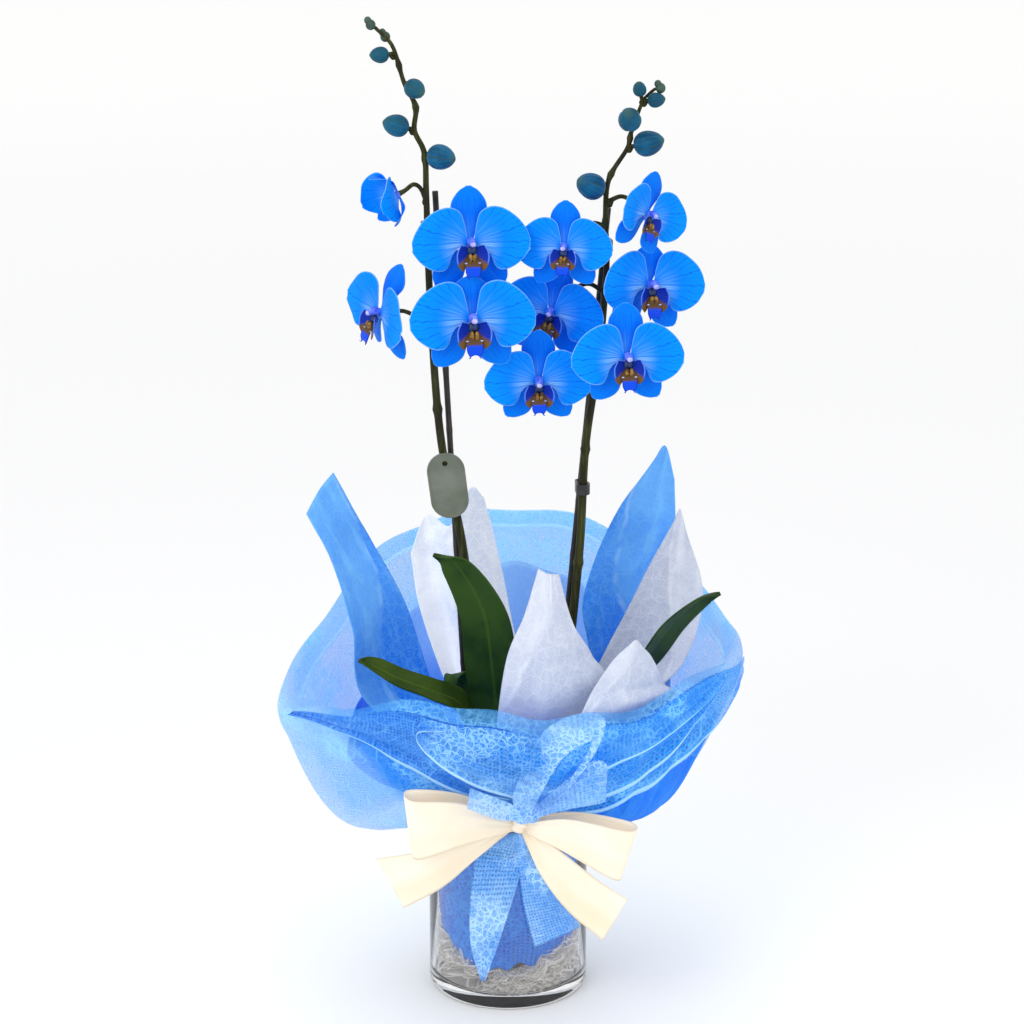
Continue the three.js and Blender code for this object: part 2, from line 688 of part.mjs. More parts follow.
// Leaves: a spine, half widths along it, and how far the middle lies below the edges
const LEAVES = {
  leaf_centre: {
    finish: 'leaf',
    spine: [[1, -3.8, 134], [-3, -14, 180], [-8, -20, 225], [-12, -32, 271], [-18, -38, 312], [-37, -45, 350],
      [-53, -50, 360]],
    halves: [6, 8, 14, 18.5, 18, 12, 3],
    across: [1, -0.25, 0],
  },
  leaf_left: {
    finish: 'oliveLeaf',
    spine: [[-9.9, -2.6, 136], [-19, -13, 185], [-34, -26, 232], [-57, -40, 250], [-79, -46, 261],
      [-97, -50, 272],
      [-109, -52, 277]],
    halves: [3.5, 6.5, 10, 9.5, 9, 7, 2],
    across: [0.35, 0.9, 0.35],
  },
  leaf_right: {
    finish: 'leaf',
    spine: [[7.5, 1, 136], [26, -10, 185], [66, -22, 236], [100, -29, 270], [120, -34, 300], [140, -38, 321],
      [154, -40, 327]],
    halves: [3.5, 7, 11, 13, 13, 9, 2.5],
    across: [0.5, 0.75, -0.35],
  },
  leaf_short: {
    finish: 'leaf',
    spine: [[-9.5, 5, 136], [-17, 1, 180], [-25, -3, 222], [-34, -6, 246], [-41, -9, 251], [-47, -12, 245]],
    halves: [2.5, 5, 9, 10, 8, 3],
    across: [0.85, -0.3, 0.3],
  },
};
const LEAF = 1.6;

function leaf({ spine, halves, across, channel = 3 }) {
  const path = curve(spine);
  const widths = curve(halves.map((half, i) => [half, 0, i]));
  return blade((u, v) => {
    const middle = path.getPoint(v);
    const along = path.getTangent(v);
    const side = vec(across);
    side.addScaledVector(along, -side.dot(along)).normalize();
    const normal = new THREE.Vector3().crossVectors(side, along);
    const share = 2 * u - 1;
    middle.addScaledVector(side, widths.getPoint(v).x * share);
    return middle.addScaledVector(normal, channel * share * share);
  }, 4, 8, LEAF);
}

function onLine([start, end], z) {
  const share = (z - start[2]) / (end[2] - start[2]);
  return vec(start).lerp(vec(end), share);
}

function onCurve(points, z) {
  const path = curve(points);
  let low = 0;
  let high = 1;
  for (let i = 0; i < 30; i += 1) {
    const middle = (low + high) / 2;
    if (path.getPoint(middle).z < z) {
      low = middle;
    } else {
      high = middle;
    }
  }
  return path.getPoint(low);
}

// A clip that holds a spike against its cane at height z
function clip(side, z, stemRadius) {
  const a = onCurve(SPIKES[side].stem, z);
  const b = onLine(STAKES[side], z);
  const height = 8;
  const margin = 1.8;
  const clear = 0.5;
  const direction = Math.atan2(b.y - a.y, b.x - a.x);
  const outline = new THREE.Shape();
  outline.absarc(b.x, b.y, STAKE_RADIUS + margin, direction - Math.PI / 2, direction + Math.PI / 2);
  outline.absarc(a.x, a.y, stemRadius + margin, direction + Math.PI / 2, direction + (3 * Math.PI) / 2);
  const body = new THREE.ExtrudeGeometry(outline, { depth: height, bevelEnabled: false, curveSegments: 4 });
  const bore = ({ x, y }, radius) => new THREE.CylinderGeometry(radius, radius, height + 2, 7)
    .rotateX(Math.PI / 2)
    .translate(x, y, height / 2);
  const bores = [bore(a, stemRadius + clear), bore(b, STAKE_RADIUS + clear + 0.2)];
  return cut(body, bores).translate(0, 0, z - height / 2);
}

// The plant tag, a rounded plate with a raised rim and a peg hole
const TAG_RADIUS = 14;
const TAG_HALF_STRAIGHT = 11;
const TAG_RIM_WIDTH = 1.4;
const TAG_PLATE = 1.4;
const TAG_RIM = 2.2;
const TAG_HOLE = { height: 17, radius: 2 };

function tag() {
  const capsule = (radius) => {
    const shape = new THREE.Shape();
    shape.absarc(0, TAG_HALF_STRAIGHT, radius, 0, Math.PI);
    shape.absarc(0, -TAG_HALF_STRAIGHT, radius, Math.PI, 2 * Math.PI);
    return shape;
  };
  const options = (depth) => ({ depth, bevelEnabled: false, curveSegments: 5 });
  const rim = capsule(TAG_RADIUS);
  rim.holes.push(capsule(TAG_RADIUS - TAG_RIM_WIDTH));
  const plate = capsule(TAG_RADIUS - GAP);
  plate.holes.push(new THREE.Path().absarc(0, TAG_HOLE.height, TAG_HOLE.radius, 0, 2 * Math.PI));
  return fuse([
    new THREE.ExtrudeGeometry(plate, options(TAG_PLATE)),
    new THREE.ExtrudeGeometry(rim, options(TAG_RIM)),
  ]);
}

// Satin ribbon: a band round the neck and a bow in front
const BAND_INNER = NECK_RADIUS + 1.3;
const BAND_OUTER = BAND_INNER + 1.4;
const KNOT = { middle: [8, -61.5, 156], radii: [11, 13, 9] };

function band() {
  const low = 149;
  const high = 163;
  const profile = [[BAND_INNER, low], [BAND_OUTER, low + 1], [BAND_OUTER, high - 1], [BAND_INNER, high]];
  return turned([...profile, profile[0]], 36);
}

const RIBBON_STRIPS = [
  { rails: [
    [[4, -71, 159], [-32, -98, 185], [-69, -110, 192], [-71, -101, 197], [-33, -88, 188], [3, -64, 160]],
    [[4, -71, 152], [-28, -92, 151], [-64, -108, 145], [-66, -99, 150], [-30, -82, 158], [3, -64, 154]],
  ], steps: 8 },
  { rails: [
    [[12, -71, 158], [44, -89, 169], [87, -105, 166], [90, -95, 169], [48, -80, 171], [14, -64, 159]],
    [[12, -71, 151], [40, -85, 142], [77, -103, 127], [79, -94, 131], [43, -77, 148], [14, -64, 153]],
  ], steps: 8 },
  { rails: [
    [[4, -66, 155], [-34, -82, 148], [-66, -90, 143], [-96, -92, 139]],
    [[2, -66, 150], [-24, -76, 131], [-48, -83, 112], [-76, -91, 99]],
  ], steps: 6 },
  { rails: [
    [[12, -66, 155], [38, -77, 139], [68, -87, 118], [88, -91, 106]],
    [[10, -66, 149], [24, -73, 118], [44, -80, 92], [70, -89, 72]],
  ], steps: 6 },
];

function strips(list, thickness) {
  return list.map(({ rails, steps, wide = 2 }) => blade(through(rails), steps, wide, thickness));
}

function ribbonBow() {
  return fuse([ellipsoid(KNOT.middle, KNOT.radii, 8, 6), ...strips(RIBBON_STRIPS, SATIN)]);
}

// Pale net: a loose bow above the satin knot and two tails over the front of the vase
const NET_KNOT = { middle: [13, -76.6, 167.6], radii: [12, 8.5, 8] };
const NET_BOW_STRIPS = [
  { rails: [
    [[10, -78, 170], [4, -100, 193], [24, -126, 250], [52, -137, 270], [69, -133, 263], [60, -124, 231],
      [38, -104, 194], [14, -76, 172]],
    [[16, -80, 166], [22, -102, 190], [38, -121, 228], [54, -128, 243], [60, -126, 243], [50, -117, 220],
      [32, -98, 186], [16, -76, 168]],
  ], steps: 12 },
  { rails: [
    [[16, -82, 172], [40, -104, 204], [62, -117, 226], [71, -111, 216], [48, -94, 188], [18, -78, 172]],
    [[18, -82, 166], [42, -100, 181], [66, -111, 190], [69, -105, 190], [46, -92, 178], [20, -78, 168]],
  ], steps: 8 },
  { rails: [
    [[12, -82, 174], [-6, -97, 188], [-27, -112, 203]],
    [[12, -84, 166], [-6, -98, 172], [-29, -113, 187]],
  ], steps: 4 },
];

function netBow() {
  return fuse([ellipsoid(NET_KNOT.middle, NET_KNOT.radii, 7, 5), ...strips(NET_BOW_STRIPS, NET)]);
}

const NET_TAILS = [
  { rails: [
    [[2, -62.5, 146], [-20, -66, 138], [-27, -66, 104], [-28, -66, 60], [-20, -67, 29]],
    [[11, -62.5, 146], [13, -66, 132], [7, -67, 106], [-6, -67, 62], [-17, -67, 29]],
  ], steps: 6 },
  { rails: [
    [[6, -63.5, 146], [8, -68.5, 124], [12, -69, 90], [20, -69, 57]],
    [[14, -63.5, 146], [32, -69, 124], [44, -70, 96], [54, -70, 74]],
  ], steps: 8 },
];

function netTails() {
  const root = ellipsoid([9, -63.5, 143], [7, 2.6, 3.6], 8, 5);
  return fuse([root, ...strips(NET_TAILS, NET)]);
}

// The whole arrangement
add('glass_vase', vase(), 'glass');
add('nursery_pot', pot(), 'potPlastic');
add('bark_mix', bark(), 'bark');
add('organza_shreds', shreds(), 'shreds');
add('net_sleeve', sleeve(), 'net');
add('net_bowl', blade(bowl(NET_BOWL), 32, NET_BOWL.rows, NET), 'net');
add('paper_collar', blade(bowl(PAPER_BOWL), 24, PAPER_BOWL.rows, PAPER), 'bluePaper');
Object.entries(SHEETS).forEach(([name, sheet]) => {
  add(name, blade(sheetSurface(sheet), sheet.rails.length > 3 ? 6 : 4, 7, PAPER), sheet.finish);
});

const crownFoot = HOLE_FLOOR + GAP;
const crownPath = [[0, 5, crownFoot], [0, 5, 125], [0, 5, 150]];
add('plant_crown', stem(crownPath, [CROWN_HOLE[2], CROWN_HOLE[2], 6], 5, 10), 'crown');
Object.entries(LEAVES).forEach(([name, spec]) => add(name, leaf(spec), spec.finish));

Object.keys(SPIKES).forEach((side) => {
  add(`flower_spike_${side}`, spike(SPIKES[side], side), 'stem');
  add(`support_cane_${side}`, stem(STAKES[side], [STAKE_RADIUS, STAKE_RADIUS], 1, 8), 'stake');
});

// Each clip's height, and the half width of the spike there
add('clip_left', clip('left', 588, 2.9), 'clip');
add('clip_right_low', clip('right', 391, 3.4), 'clip');
add('clip_right_high', clip('right', 574, 2.9), 'clip');

const plantTag = add('plant_tag', tag(), 'tag');
plantTag.position.set(-44, 5, 394);
plantTag.rotation.set(Math.PI / 2, rad(-7), 0, 'YXZ');

BLOOMS.forEach((bloom) => {
  const head = new THREE.Group();
  head.position.set(...bloom.at);
  head.rotation.set(rad(90 - bloom.lift), 0, rad(bloom.turn), 'ZXY');
  model.add(head);
  const parts = [add(`bloom_${bloom.name}`, bloomBody(bloom), 'petal', head)];
  if (bloom.name !== HALF_OPEN) {
    parts.push(add(`lip_${bloom.name}`, lipBody(bloom), 'lip', head));
  }
  parts.forEach((part) => {
    part.rotation.z = rad(-bloom.spin);
  });
});

BUDS.forEach((bud) => {
  const mesh = add(bud.name, budSolid(bud), 'bud');
  const along = vec(bud.middle).sub(vec(bud.from)).normalize();
  mesh.position.set(...bud.middle);
  mesh.quaternion.setFromUnitVectors(new THREE.Vector3(0, 1, 0), along);
});

add('ribbon_band', band(), 'satin');
add('ribbon_bow', ribbonBow(), 'satin');
add('net_bow', netBow(), 'paleNet');
add('net_tails', netTails(), 'paleNet');

export default model;
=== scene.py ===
# A two-spiked moth orchid in its nursery pot, wrapped in net and non-woven sheets, in a glass vase.
import random
from math import atan2, copysign, cos, dist, exp, floor, hypot, pi, radians, sin, sqrt, tau

import bmesh
import bpy
from mathutils import Matrix, Vector, noise


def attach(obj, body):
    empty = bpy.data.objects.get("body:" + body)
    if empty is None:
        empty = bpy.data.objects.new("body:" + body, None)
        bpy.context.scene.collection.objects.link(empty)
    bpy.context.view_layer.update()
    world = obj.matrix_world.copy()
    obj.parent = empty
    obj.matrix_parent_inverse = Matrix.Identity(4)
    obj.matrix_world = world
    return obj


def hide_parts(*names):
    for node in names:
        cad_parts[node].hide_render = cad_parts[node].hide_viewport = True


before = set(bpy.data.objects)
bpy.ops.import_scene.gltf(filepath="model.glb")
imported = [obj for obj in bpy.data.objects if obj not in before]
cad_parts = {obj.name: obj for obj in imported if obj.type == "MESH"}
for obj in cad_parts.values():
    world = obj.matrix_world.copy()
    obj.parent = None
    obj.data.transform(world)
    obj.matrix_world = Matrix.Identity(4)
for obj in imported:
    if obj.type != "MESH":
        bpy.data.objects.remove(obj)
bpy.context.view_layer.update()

# Lists of points below are in millimetres in the row frame, as in the part's own source
MM = 0.001

# Driving dimensions
VASE_RADIUS = 60
VASE_HEIGHT = 145
VASE_WALL = 3
VASE_FLOOR = 10
VASE_CORNER = 4.5
POT_BASE = 22
POT_TOP = 125
POT_FOOT_RADIUS = 34
POT_WALL_TOP_RADIUS = 46.5
POT_RIM_RADIUS = 50
POT_WALL = 1.2
BARK_TOP = 118
NECK_RADIUS = 46
NECK_TOP = 166
CANE_RADIUS = 2.2
PEDICEL_RADIUS = 1.6
NET_THICKNESS = 0.5
SHEET_THICKNESS = 0.4
PETAL_THICKNESS = 0.7
LIP_THICKNESS = 0.6
LEAF_THICKNESS = 1.4


# Curves and surfaces
def spline(points, t, closed=False):
    """A smooth curve through the points, at share t of its length."""
    count = len(points)
    reach = t * (count if closed else count - 1)
    k = floor(reach) if closed else min(max(floor(reach), 0), count - 2)
    w = reach - k

    def near(i):
        if closed:
            return points[i % count]
        if i < 0:
            return tuple(2 * a - b for a, b in zip(points[0], points[1]))
        if i >= count:
            return tuple(2 * a - b for a, b in zip(points[-1], points[-2]))
        return points[i]

    spot = []
    for before, start, end, after in zip(near(k - 1), near(k), near(k + 1), near(k + 2)):
        leave = (end - before) / 2
        arrive = (after - start) / 2
        bend = 3 * (end - start) - 2 * leave - arrive
        spot.append(start + leave * w + bend * w * w + (2 * (start - end) + leave + arrive) * w**3)
    return tuple(spot)


def through(rails):
    """A smooth surface: u runs along every rail, v from the first rail to the last."""
    return lambda u, v: spline([spline(rail, u) for rail in rails], v)


def polar(radius, degrees, z):
    """A point by its distance from the upright axis, its direction and its height."""
    angle = radians(degrees)
    return radius * cos(angle), radius * sin(angle), z


def ease(value, low, high):
    """0 below low, 1 above high, smooth between them."""
    share = min(1, max(0, (value - low) / (high - low)))
    return share * share * (3 - 2 * share)


def hump(value, middle, width):
    """A smooth bump of height 1."""
    return exp(-(((value - middle) / width) ** 2))


def ripple(spot, size, seed=0.0):
    """Soft noise from -1 to 1 with waves of about this size in millimetres."""
    x, y, z = spot
    return noise.noise(Vector((x / size + seed, y / size + 2 * seed, z / size)))


# Meshes
def grid(surface, nu, nv, size=(1, 1), marks=None, closed=False, margin=None):
    """A mesh over surface(u, v). Flat is a map in metres; Marks and Margin are its own coordinates."""
    bm = bmesh.new()
    bmesh.ops.create_grid(bm, x_segments=nu, y_segments=nv, size=0.5)
    flat = bm.loops.layers.uv.new("Flat")
    own = bm.loops.layers.uv.new("Marks")
    rim = bm.loops.layers.uv.new("Margin") if margin else None
    for face in bm.faces:
        for loop in face.loops:
            u, v = loop.vert.co.x + 0.5, loop.vert.co.y + 0.5
            loop[flat].uv = (u * size[0], v * size[1])
            loop[own].uv = marks(u, v) if marks else (u, v)
            if margin:
                loop[rim].uv = (margin(u, v), 0)
    for vert in bm.verts:
        vert.co = Vector(surface(vert.co.x + 0.5, vert.co.y + 0.5)) * MM
    if closed:
        bmesh.ops.remove_doubles(bm, verts=bm.verts, dist=1e-6)
    return bm


def join(meshes):
    """One mesh from several, which may each have a material number."""
    whole = bmesh.new()
    for bm in meshes:
        part = bpy.data.meshes.new("part")
        bm.to_mesh(part)
        bm.free()
        whole.from_mesh(part)
        bpy.data.meshes.remove(part)
    return whole


def painted(bm, number):
    """The mesh with the material of this number."""
    for face in bm.faces:
        face.material_index = number
    return bm


def moved(bm, matrix):
    bmesh.ops.transform(bm, matrix=matrix, verts=bm.verts)
    return bm


def thick(bm, thickness):
    """Gives a sheet its thickness, half to each side."""
    bm.normal_update()
    half = thickness / 2 * MM
    for vert in bm.verts:
        vert.co += vert.normal * half
    made = bmesh.ops.extrude_face_region(bm, geom=bm.faces[:], use_keep_orig=True)
    bm.normal_update()
    for vert in [item for item in made["geom"] if isinstance(item, bmesh.types.BMVert)]:
        vert.co -= vert.normal * 2 * half
    bmesh.ops.recalc_face_normals(bm, faces=bm.faces)
    return bm


def path_frames(points, steps):
    """Evenly spaced spots along a smooth path, each with two directions across it, and the path's length."""
    fine = [Vector(spline(points, i / (steps * 4))) for i in range(steps * 4 + 1)]
    lengths = [0]
    for a, b in zip(fine, fine[1:]):
        lengths.append(lengths[-1] + (b - a).length)
    spots = []
    k = 0
    for i in range(steps + 1):
        wanted = lengths[-1] * i / steps
        while k < len(fine) - 2 and lengths[k + 1] < wanted:
            k += 1
        share = (wanted - lengths[k]) / max(1e-9, lengths[k + 1] - lengths[k])
        spots.append(fine[k].lerp(fine[k + 1], share))
    frames = []
    side = None
    for i, spot in enumerate(spots):
        along = (spots[min(i + 1, steps)] - spots[max(i - 1, 0)]).normalized()
        if side is None:
            side = along.orthogonal().normalized()
        side = (side - along * side.dot(along)).normalized()
        frames.append((spot, side, along.cross(side)))
    return frames, lengths[-1]


def tube(points, radius, steps, sides):
    """A round stem along the points; radius(share) gives its half width."""
    frames, length = path_frames(points, steps)

    def skin(u, v):
        middle, side, other = frames[round(v * steps)]
        angle = tau * u
        return middle + (side * cos(angle) + other * sin(angle)) * radius(v)

    bm = grid(skin, sides, steps, (tau * radius(0) * MM, length * MM), closed=True)
    bmesh.ops.holes_fill(bm, edges=[edge for edge in bm.edges if edge.is_boundary])
    bmesh.ops.recalc_face_normals(bm, faces=bm.faces)
    return bm


def turned(profile, steps):
    """A body turned about the upright axis from (radius, height) pairs, from axis to axis."""
    bm = bmesh.new()
    bm.loops.layers.uv.new("Flat")
    verts = [bm.verts.new((r * MM, 0, z * MM)) for r, z in profile]
    edges = [bm.edges.new(pair) for pair in zip(verts, verts[1:])]
    bmesh.ops.spin(
        bm, geom=verts + edges, axis=(0, 0, 1), cent=(0, 0, 0), steps=steps, angle=tau, use_merge=True
    )
    bmesh.ops.remove_doubles(bm, verts=bm.verts, dist=1e-6)
    bmesh.ops.recalc_face_normals(bm, faces=bm.faces)
    return bm


def arc(cx, cz, radius, start, end, steps):
    turns = [radians(start + (end - start) * i / steps) for i in range(steps + 1)]
    return [(cx + radius * cos(turn), cz + radius * sin(turn)) for turn in turns]


def ball(middle, radii, around, down):
    bm = bmesh.new()
    bmesh.ops.create_uvsphere(bm, u_segments=around, v_segments=down, radius=1)
    bmesh.ops.scale(bm, verts=bm.verts, vec=Vector(radii) * MM)
    bmesh.ops.translate(bm, verts=bm.verts, vec=Vector(middle) * MM)
    return bm


def added(name, data):
    made = bpy.data.objects.new(name, data)
    bpy.context.scene.collection.objects.link(made)
    return made


def shape(bm, name, finishes):
    """An object with this mesh and its materials."""
    mesh = bpy.data.meshes.new(name)
    bm.to_mesh(mesh)
    bm.free()
    for finish in finishes if isinstance(finishes, list) else [finishes]:
        mesh.materials.append(finish)
    return added(name, mesh)


def place(bm, name, finishes, slot, nodes, smooth=True):
    """Makes the finished piece: rides on the body and stands for CAD nodes. slot is not used."""
    piece = shape(bm, name, finishes)
    if smooth:
        piece.data.shade_smooth()
    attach(piece, "root")
    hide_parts(*nodes)
    return piece


# Shader values
class Wire:
    """A value in a shader tree. Sums, products and the methods add the nodes that they need."""

    def __init__(self, tree, socket):
        self.tree = tree
        self.socket = socket

    def __add__(self, other):
        return calc("ADD", self, other)

    def __sub__(self, other):
        return calc("SUBTRACT", self, other)

    def __rsub__(self, other):
        return calc("SUBTRACT", other, self)

    def __mul__(self, other):
        return calc("MULTIPLY", self, other)

    def __truediv__(self, other):
        return calc("DIVIDE", self, other)

    def __rtruediv__(self, other):
        return calc("DIVIDE", other, self)

    def __abs__(self):
        return calc("ABSOLUTE", self)

    def most(self, other):
        return calc("MAXIMUM", self, other)

    def least(self, other):
        return calc("MINIMUM", self, other)

    def sine(self):
        return calc("SINE", self)

    def between(self, low, high, to_low=0.0, to_high=1.0):
        """low..high moved to to_low..to_high, smooth at both ends."""
        inputs = {"Value": self, "From Min": low, "From Max": high, "To Min": to_low, "To Max": to_high}
        return node(self.tree, "ShaderNodeMapRange", inputs, interpolation_type="SMOOTHSTEP")

    def mix(self, first, second):
        """A colour between two, with this as the share of the second."""
        tones = [tone if isinstance(tone, Wire) else (*tone, 1) for tone in (first, second)]
        inputs = {0: self, 6: tones[0], 7: tones[1]}
        return node(self.tree, "ShaderNodeMix", inputs, output=2, data_type="RGBA")

    def cloud(self, scale, detail=2.0, rough=0.5):
        """Soft noise at this place."""
        inputs = {"Vector": self, "Scale": scale, "Detail": detail, "Roughness": rough}
        return node(self.tree, "ShaderNodeTexNoise", inputs)

    def stretched(self, scale):
        return node(self.tree, "ShaderNodeMapping", {"Vector": self, "Scale": scale})

    def parts(self):
        made = self.tree.nodes.new("ShaderNodeSeparateXYZ")
        fill(made, {0: self})
        return [Wire(self.tree, socket) for socket in made.outputs]


def fill(made, inputs):
    """Gives a node its inputs: a wire is linked, and anything else is set."""
    for key, value in inputs.items():
        if isinstance(value, Wire):
            value.tree.links.new(value.socket, made.inputs[key])
        else:
            made.inputs[key].default_value = value


def node(tree, kind, inputs=None, output=0, **settings):
    """Adds a node and gives one of its outputs."""
    made = tree.nodes.new(kind)
    for name, value in settings.items():
        setattr(made, name, value)
    fill(made, inputs or {})
    return Wire(tree, made.outputs[output])


def calc(operation, *values, clamp=False):
    tree = next(value.tree for value in values if isinstance(value, Wire))
    return node(tree, "ShaderNodeMath", dict(enumerate(values)), operation=operation, use_clamp=clamp)


def shaded(tone, share):
    return tuple(share * part for part in tone)


def blend(first, second, share):
    return tuple((1 - share) * a + share * b for a, b in zip(first, second))


class Finish:
    """A material in the making, with its tree, its shader and its object coordinates."""

    def __init__(self, name, rough, **constants):
        self.material = bpy.data.materials.new(name)
        self.material.use_nodes = True
        self.tree = self.material.node_tree
        self.shader = self.tree.nodes["Principled BSDF"]
        fill(self.shader, {key.replace("_", " "): value for key, value in constants.items()})
        fill(self.shader, {"Roughness": rough})
        self.coords = node(self.tree, "ShaderNodeTexCoord", output="Object")

    def map(self, name):
        """One of the piece's own coordinates."""
        return node(self.tree, "ShaderNodeUVMap", uv_map=name)

    def use(self, shared, **inputs):
        """The outputs of a shared group, by name."""
        made = self.tree.nodes.new("ShaderNodeGroup")
        made.node_tree = shared
        fill(made, inputs)
        return {socket.name: Wire(self.tree, socket) for socket in made.outputs}

    def done(self, colour, height, strength, distance, glowing=False, alpha=None):
        """Links colour, relief, glow and cover to the shader."""
        relief = {"Height": height, "Strength": strength, "Distance": distance}
        inputs = {"Base Color": colour, "Normal": node(self.tree, "ShaderNodeBump", relief)}
        # A glowing surface gives off its own colour: painted light.
        if glowing:
            inputs["Emission Color"] = colour
        if alpha:
            inputs["Alpha"] = alpha
        fill(self.shader, inputs)
        return self.material


# Patterns that several materials share
def group(name, inputs, outputs):
    """An empty node group: inputs with their defaults, None for a vector, and number outputs."""
    tree = bpy.data.node_groups.new(name, "ShaderNodeTree")
    for label, value in inputs.items():
        kind = "NodeSocketVector" if value is None else "NodeSocketFloat"
        socket = tree.interface.new_socket(label, in_out="INPUT", socket_type=kind)
        if value is not None:
            socket.default_value = value
    for label in outputs:
        tree.interface.new_socket(label, in_out="OUTPUT", socket_type="NodeSocketFloat")
    start = tree.nodes.new("NodeGroupInput").outputs
    return tree, {label: Wire(tree, start[label]) for label in inputs}, tree.nodes.new("NodeGroupOutput")


def crackle_group():
    """Maze-like lines pressed into non-woven cloth: cell edges with rings in them, and a softer cloud."""
    inputs = {"Vector": None, "Size": 120.0, "Width": 0.12, "Rings": 0.0}
    tree, given, end = group("Crackle", inputs, ["Lines", "Cloud"])
    coords, size = given["Vector"], given["Size"]
    warp = node(tree, "ShaderNodeTexNoise", {"Vector": coords, "Scale": size * 0.9}, output="Color")
    push = node(tree, "ShaderNodeVectorMath", {0: warp, 1: (0.5, 0.5, 0.5)}, operation="SUBTRACT")
    push = node(tree, "ShaderNodeVectorMath", {0: push, "Scale": 1 / size}, operation="SCALE")
    bent = node(tree, "ShaderNodeVectorMath", {0: coords, 1: push}, operation="ADD")

    def cells(**settings):
        inputs = {"Vector": bent, "Scale": size}
        return node(tree, "ShaderNodeTexVoronoi", inputs, output="Distance", **settings)

    lines = 1 - (cells(feature="DISTANCE_TO_EDGE") / given["Width"]).between(0.25, 1.0)
    rings = (cells(distance="MANHATTAN") * (given["Rings"] * tau)).sine().between(0.25, 0.95, 0.0, 0.85)
    fill(end, {"Lines": lines.most(rings), "Cloud": coords.cloud(22.0, 3.0)})
    return tree


def weave_group():
    """A fine square weave on the piece's own flat cloth, in threads to the metre."""
    tree, given, end = group("Weave", {"Vector": None, "Threads": 500.0}, ["Height", "Holes"])
    across, along, _ = given["Vector"].parts()
    turns = given["Threads"] * tau
    warp = (across * turns).sine()
    weft = (along * turns).sine()
    fill(end, {"Height": warp * weft, "Holes": warp.least(weft).between(-0.05, 0.6)})
    return tree


def veins_group():
    """Veins that fan out from the claw of a petal; Marks holds angle and reach from there."""
    tree, given, end = group("Veins", {"Marks": None, "Count": 9.0, "Wobble": 0.25}, ["Lines", "Reach"])
    angle, reach, _ = given["Marks"].parts()
    angle = angle + (given["Marks"].cloud(5.0, 3.0) - 0.5) * given["Wobble"]

    def family(times, width):
        return 1 - abs((angle * (given["Count"] * times)).sine()).between(0.0, width)

    twice = family(2.0, 0.3) * reach.between(0.3, 0.55) * 0.75
    four = family(4.0, 0.4) * reach.between(0.6, 0.85) * 0.5
    fill(end, {"Lines": family(1.0, 0.22).most(twice.most(four)), "Reach": reach})
    return tree


CRACKLE = crackle_group()
WEAVE = weave_group()
VEINS = veins_group()


# Finishes
WHITE = (1.0, 1.0, 1.0)
# A lighter tone painted on the back wall of the net: painted light, as if lit through from behind.
LIT_BACK_NET = (0.10, 0.57, 1.0)
LOOSE_NET = (0.38, 0.66, 1.0)


def net_finish(
    name, deep, pale, clear, mesh, hem=0.06, glow=0.12, threads=450.0, cuff=0.0, pleats=0.0, back=0.0,
    cover=0.0
):
    """Sheer non-woven net: a fine maze, long thin creases, an open mesh in patches, and a pale hem.

    clear is how much a layer covers and mesh how open its holes are. cuff thins out the turned-in hem,
    pleats paints shade into the folds, back makes the wall behind denser, paints it lighter with painted
    light and makes the loose lobe at the left front paler, cover widens the patches of mesh, and glow is
    painted
    light: the net gives off its own colour, as if lit through from behind.
    """
    # glow is painted light: the net gives off its own colour, as if lit through from behind.
    finish = Finish(name, 0.85, Specular_IOR_Level=0.1, Emission_Strength=glow)
    coords = finish.coords
    maze = finish.use(CRACKLE, Vector=coords, Size=200.0, Width=0.13, Rings=2.6)
    crease = finish.use(CRACKLE, Vector=coords, Size=30.0, Width=0.02)["Lines"]
    weave = finish.use(WEAVE, Vector=finish.map("Flat"), Threads=threads)
    around, up, _ = finish.map("Marks").parts()
    edge = up.between(1 - hem, 1 - hem * 0.7)
    patch = coords.cloud(15.0, 3.0).between(0.42 - cover, 0.53 - cover)
    holes = weave["Holes"] * patch
    tone = maze["Cloud"].between(0.35, 0.65).mix(deep, blend(deep, pale, 0.3))
    behind = (around * tau).sine().between(0.0, 0.3)
    if back:
        # Painted light: the back wall takes the lighter tone.
        tone = (behind * 0.75).mix(tone, LIT_BACK_NET)
        loose = around.between(0.44, 0.5, 0.0, 0.85) * (around + up * 0.16).between(0.695, 0.72, 1.0, 0.0)
        tone = loose.mix(tone, LOOSE_NET)
    # Painted shade: darker bands in the recesses of the pleats.
    pleat = (up * -15.1 + around * 3.2).sine().between(-0.2, 1.0, 0.0, pleats)
    tone = pleat.mix(tone, shaded(deep, 0.6))
    tone = (holes * 0.9).mix(tone, shaded(deep, 0.2))
    faint = coords.cloud(24.0).between(0.4, 0.6, 0.1, 0.6)
    lines = (maze["Lines"] * (0.75 - patch * 0.5)).most(crease * faint)
    colour = (edge * 0.85).mix(lines.mix(tone, pale), blend(pale, WHITE, 0.2))
    solid = lines.most(edge) * 0.3 + clear + behind * up.between(0.35, 0.95, back, 0.4 * back)
    solid = calc("MULTIPLY", solid, 1 - holes * mesh, clamp=True)
    alpha = solid * (1 - up.between(0.825, 0.86, 0.0, cuff))
    return finish.done(colour, lines + weave["Height"] * patch * 0.3, 0.25, 0.0004, glowing=True, alpha=alpha)


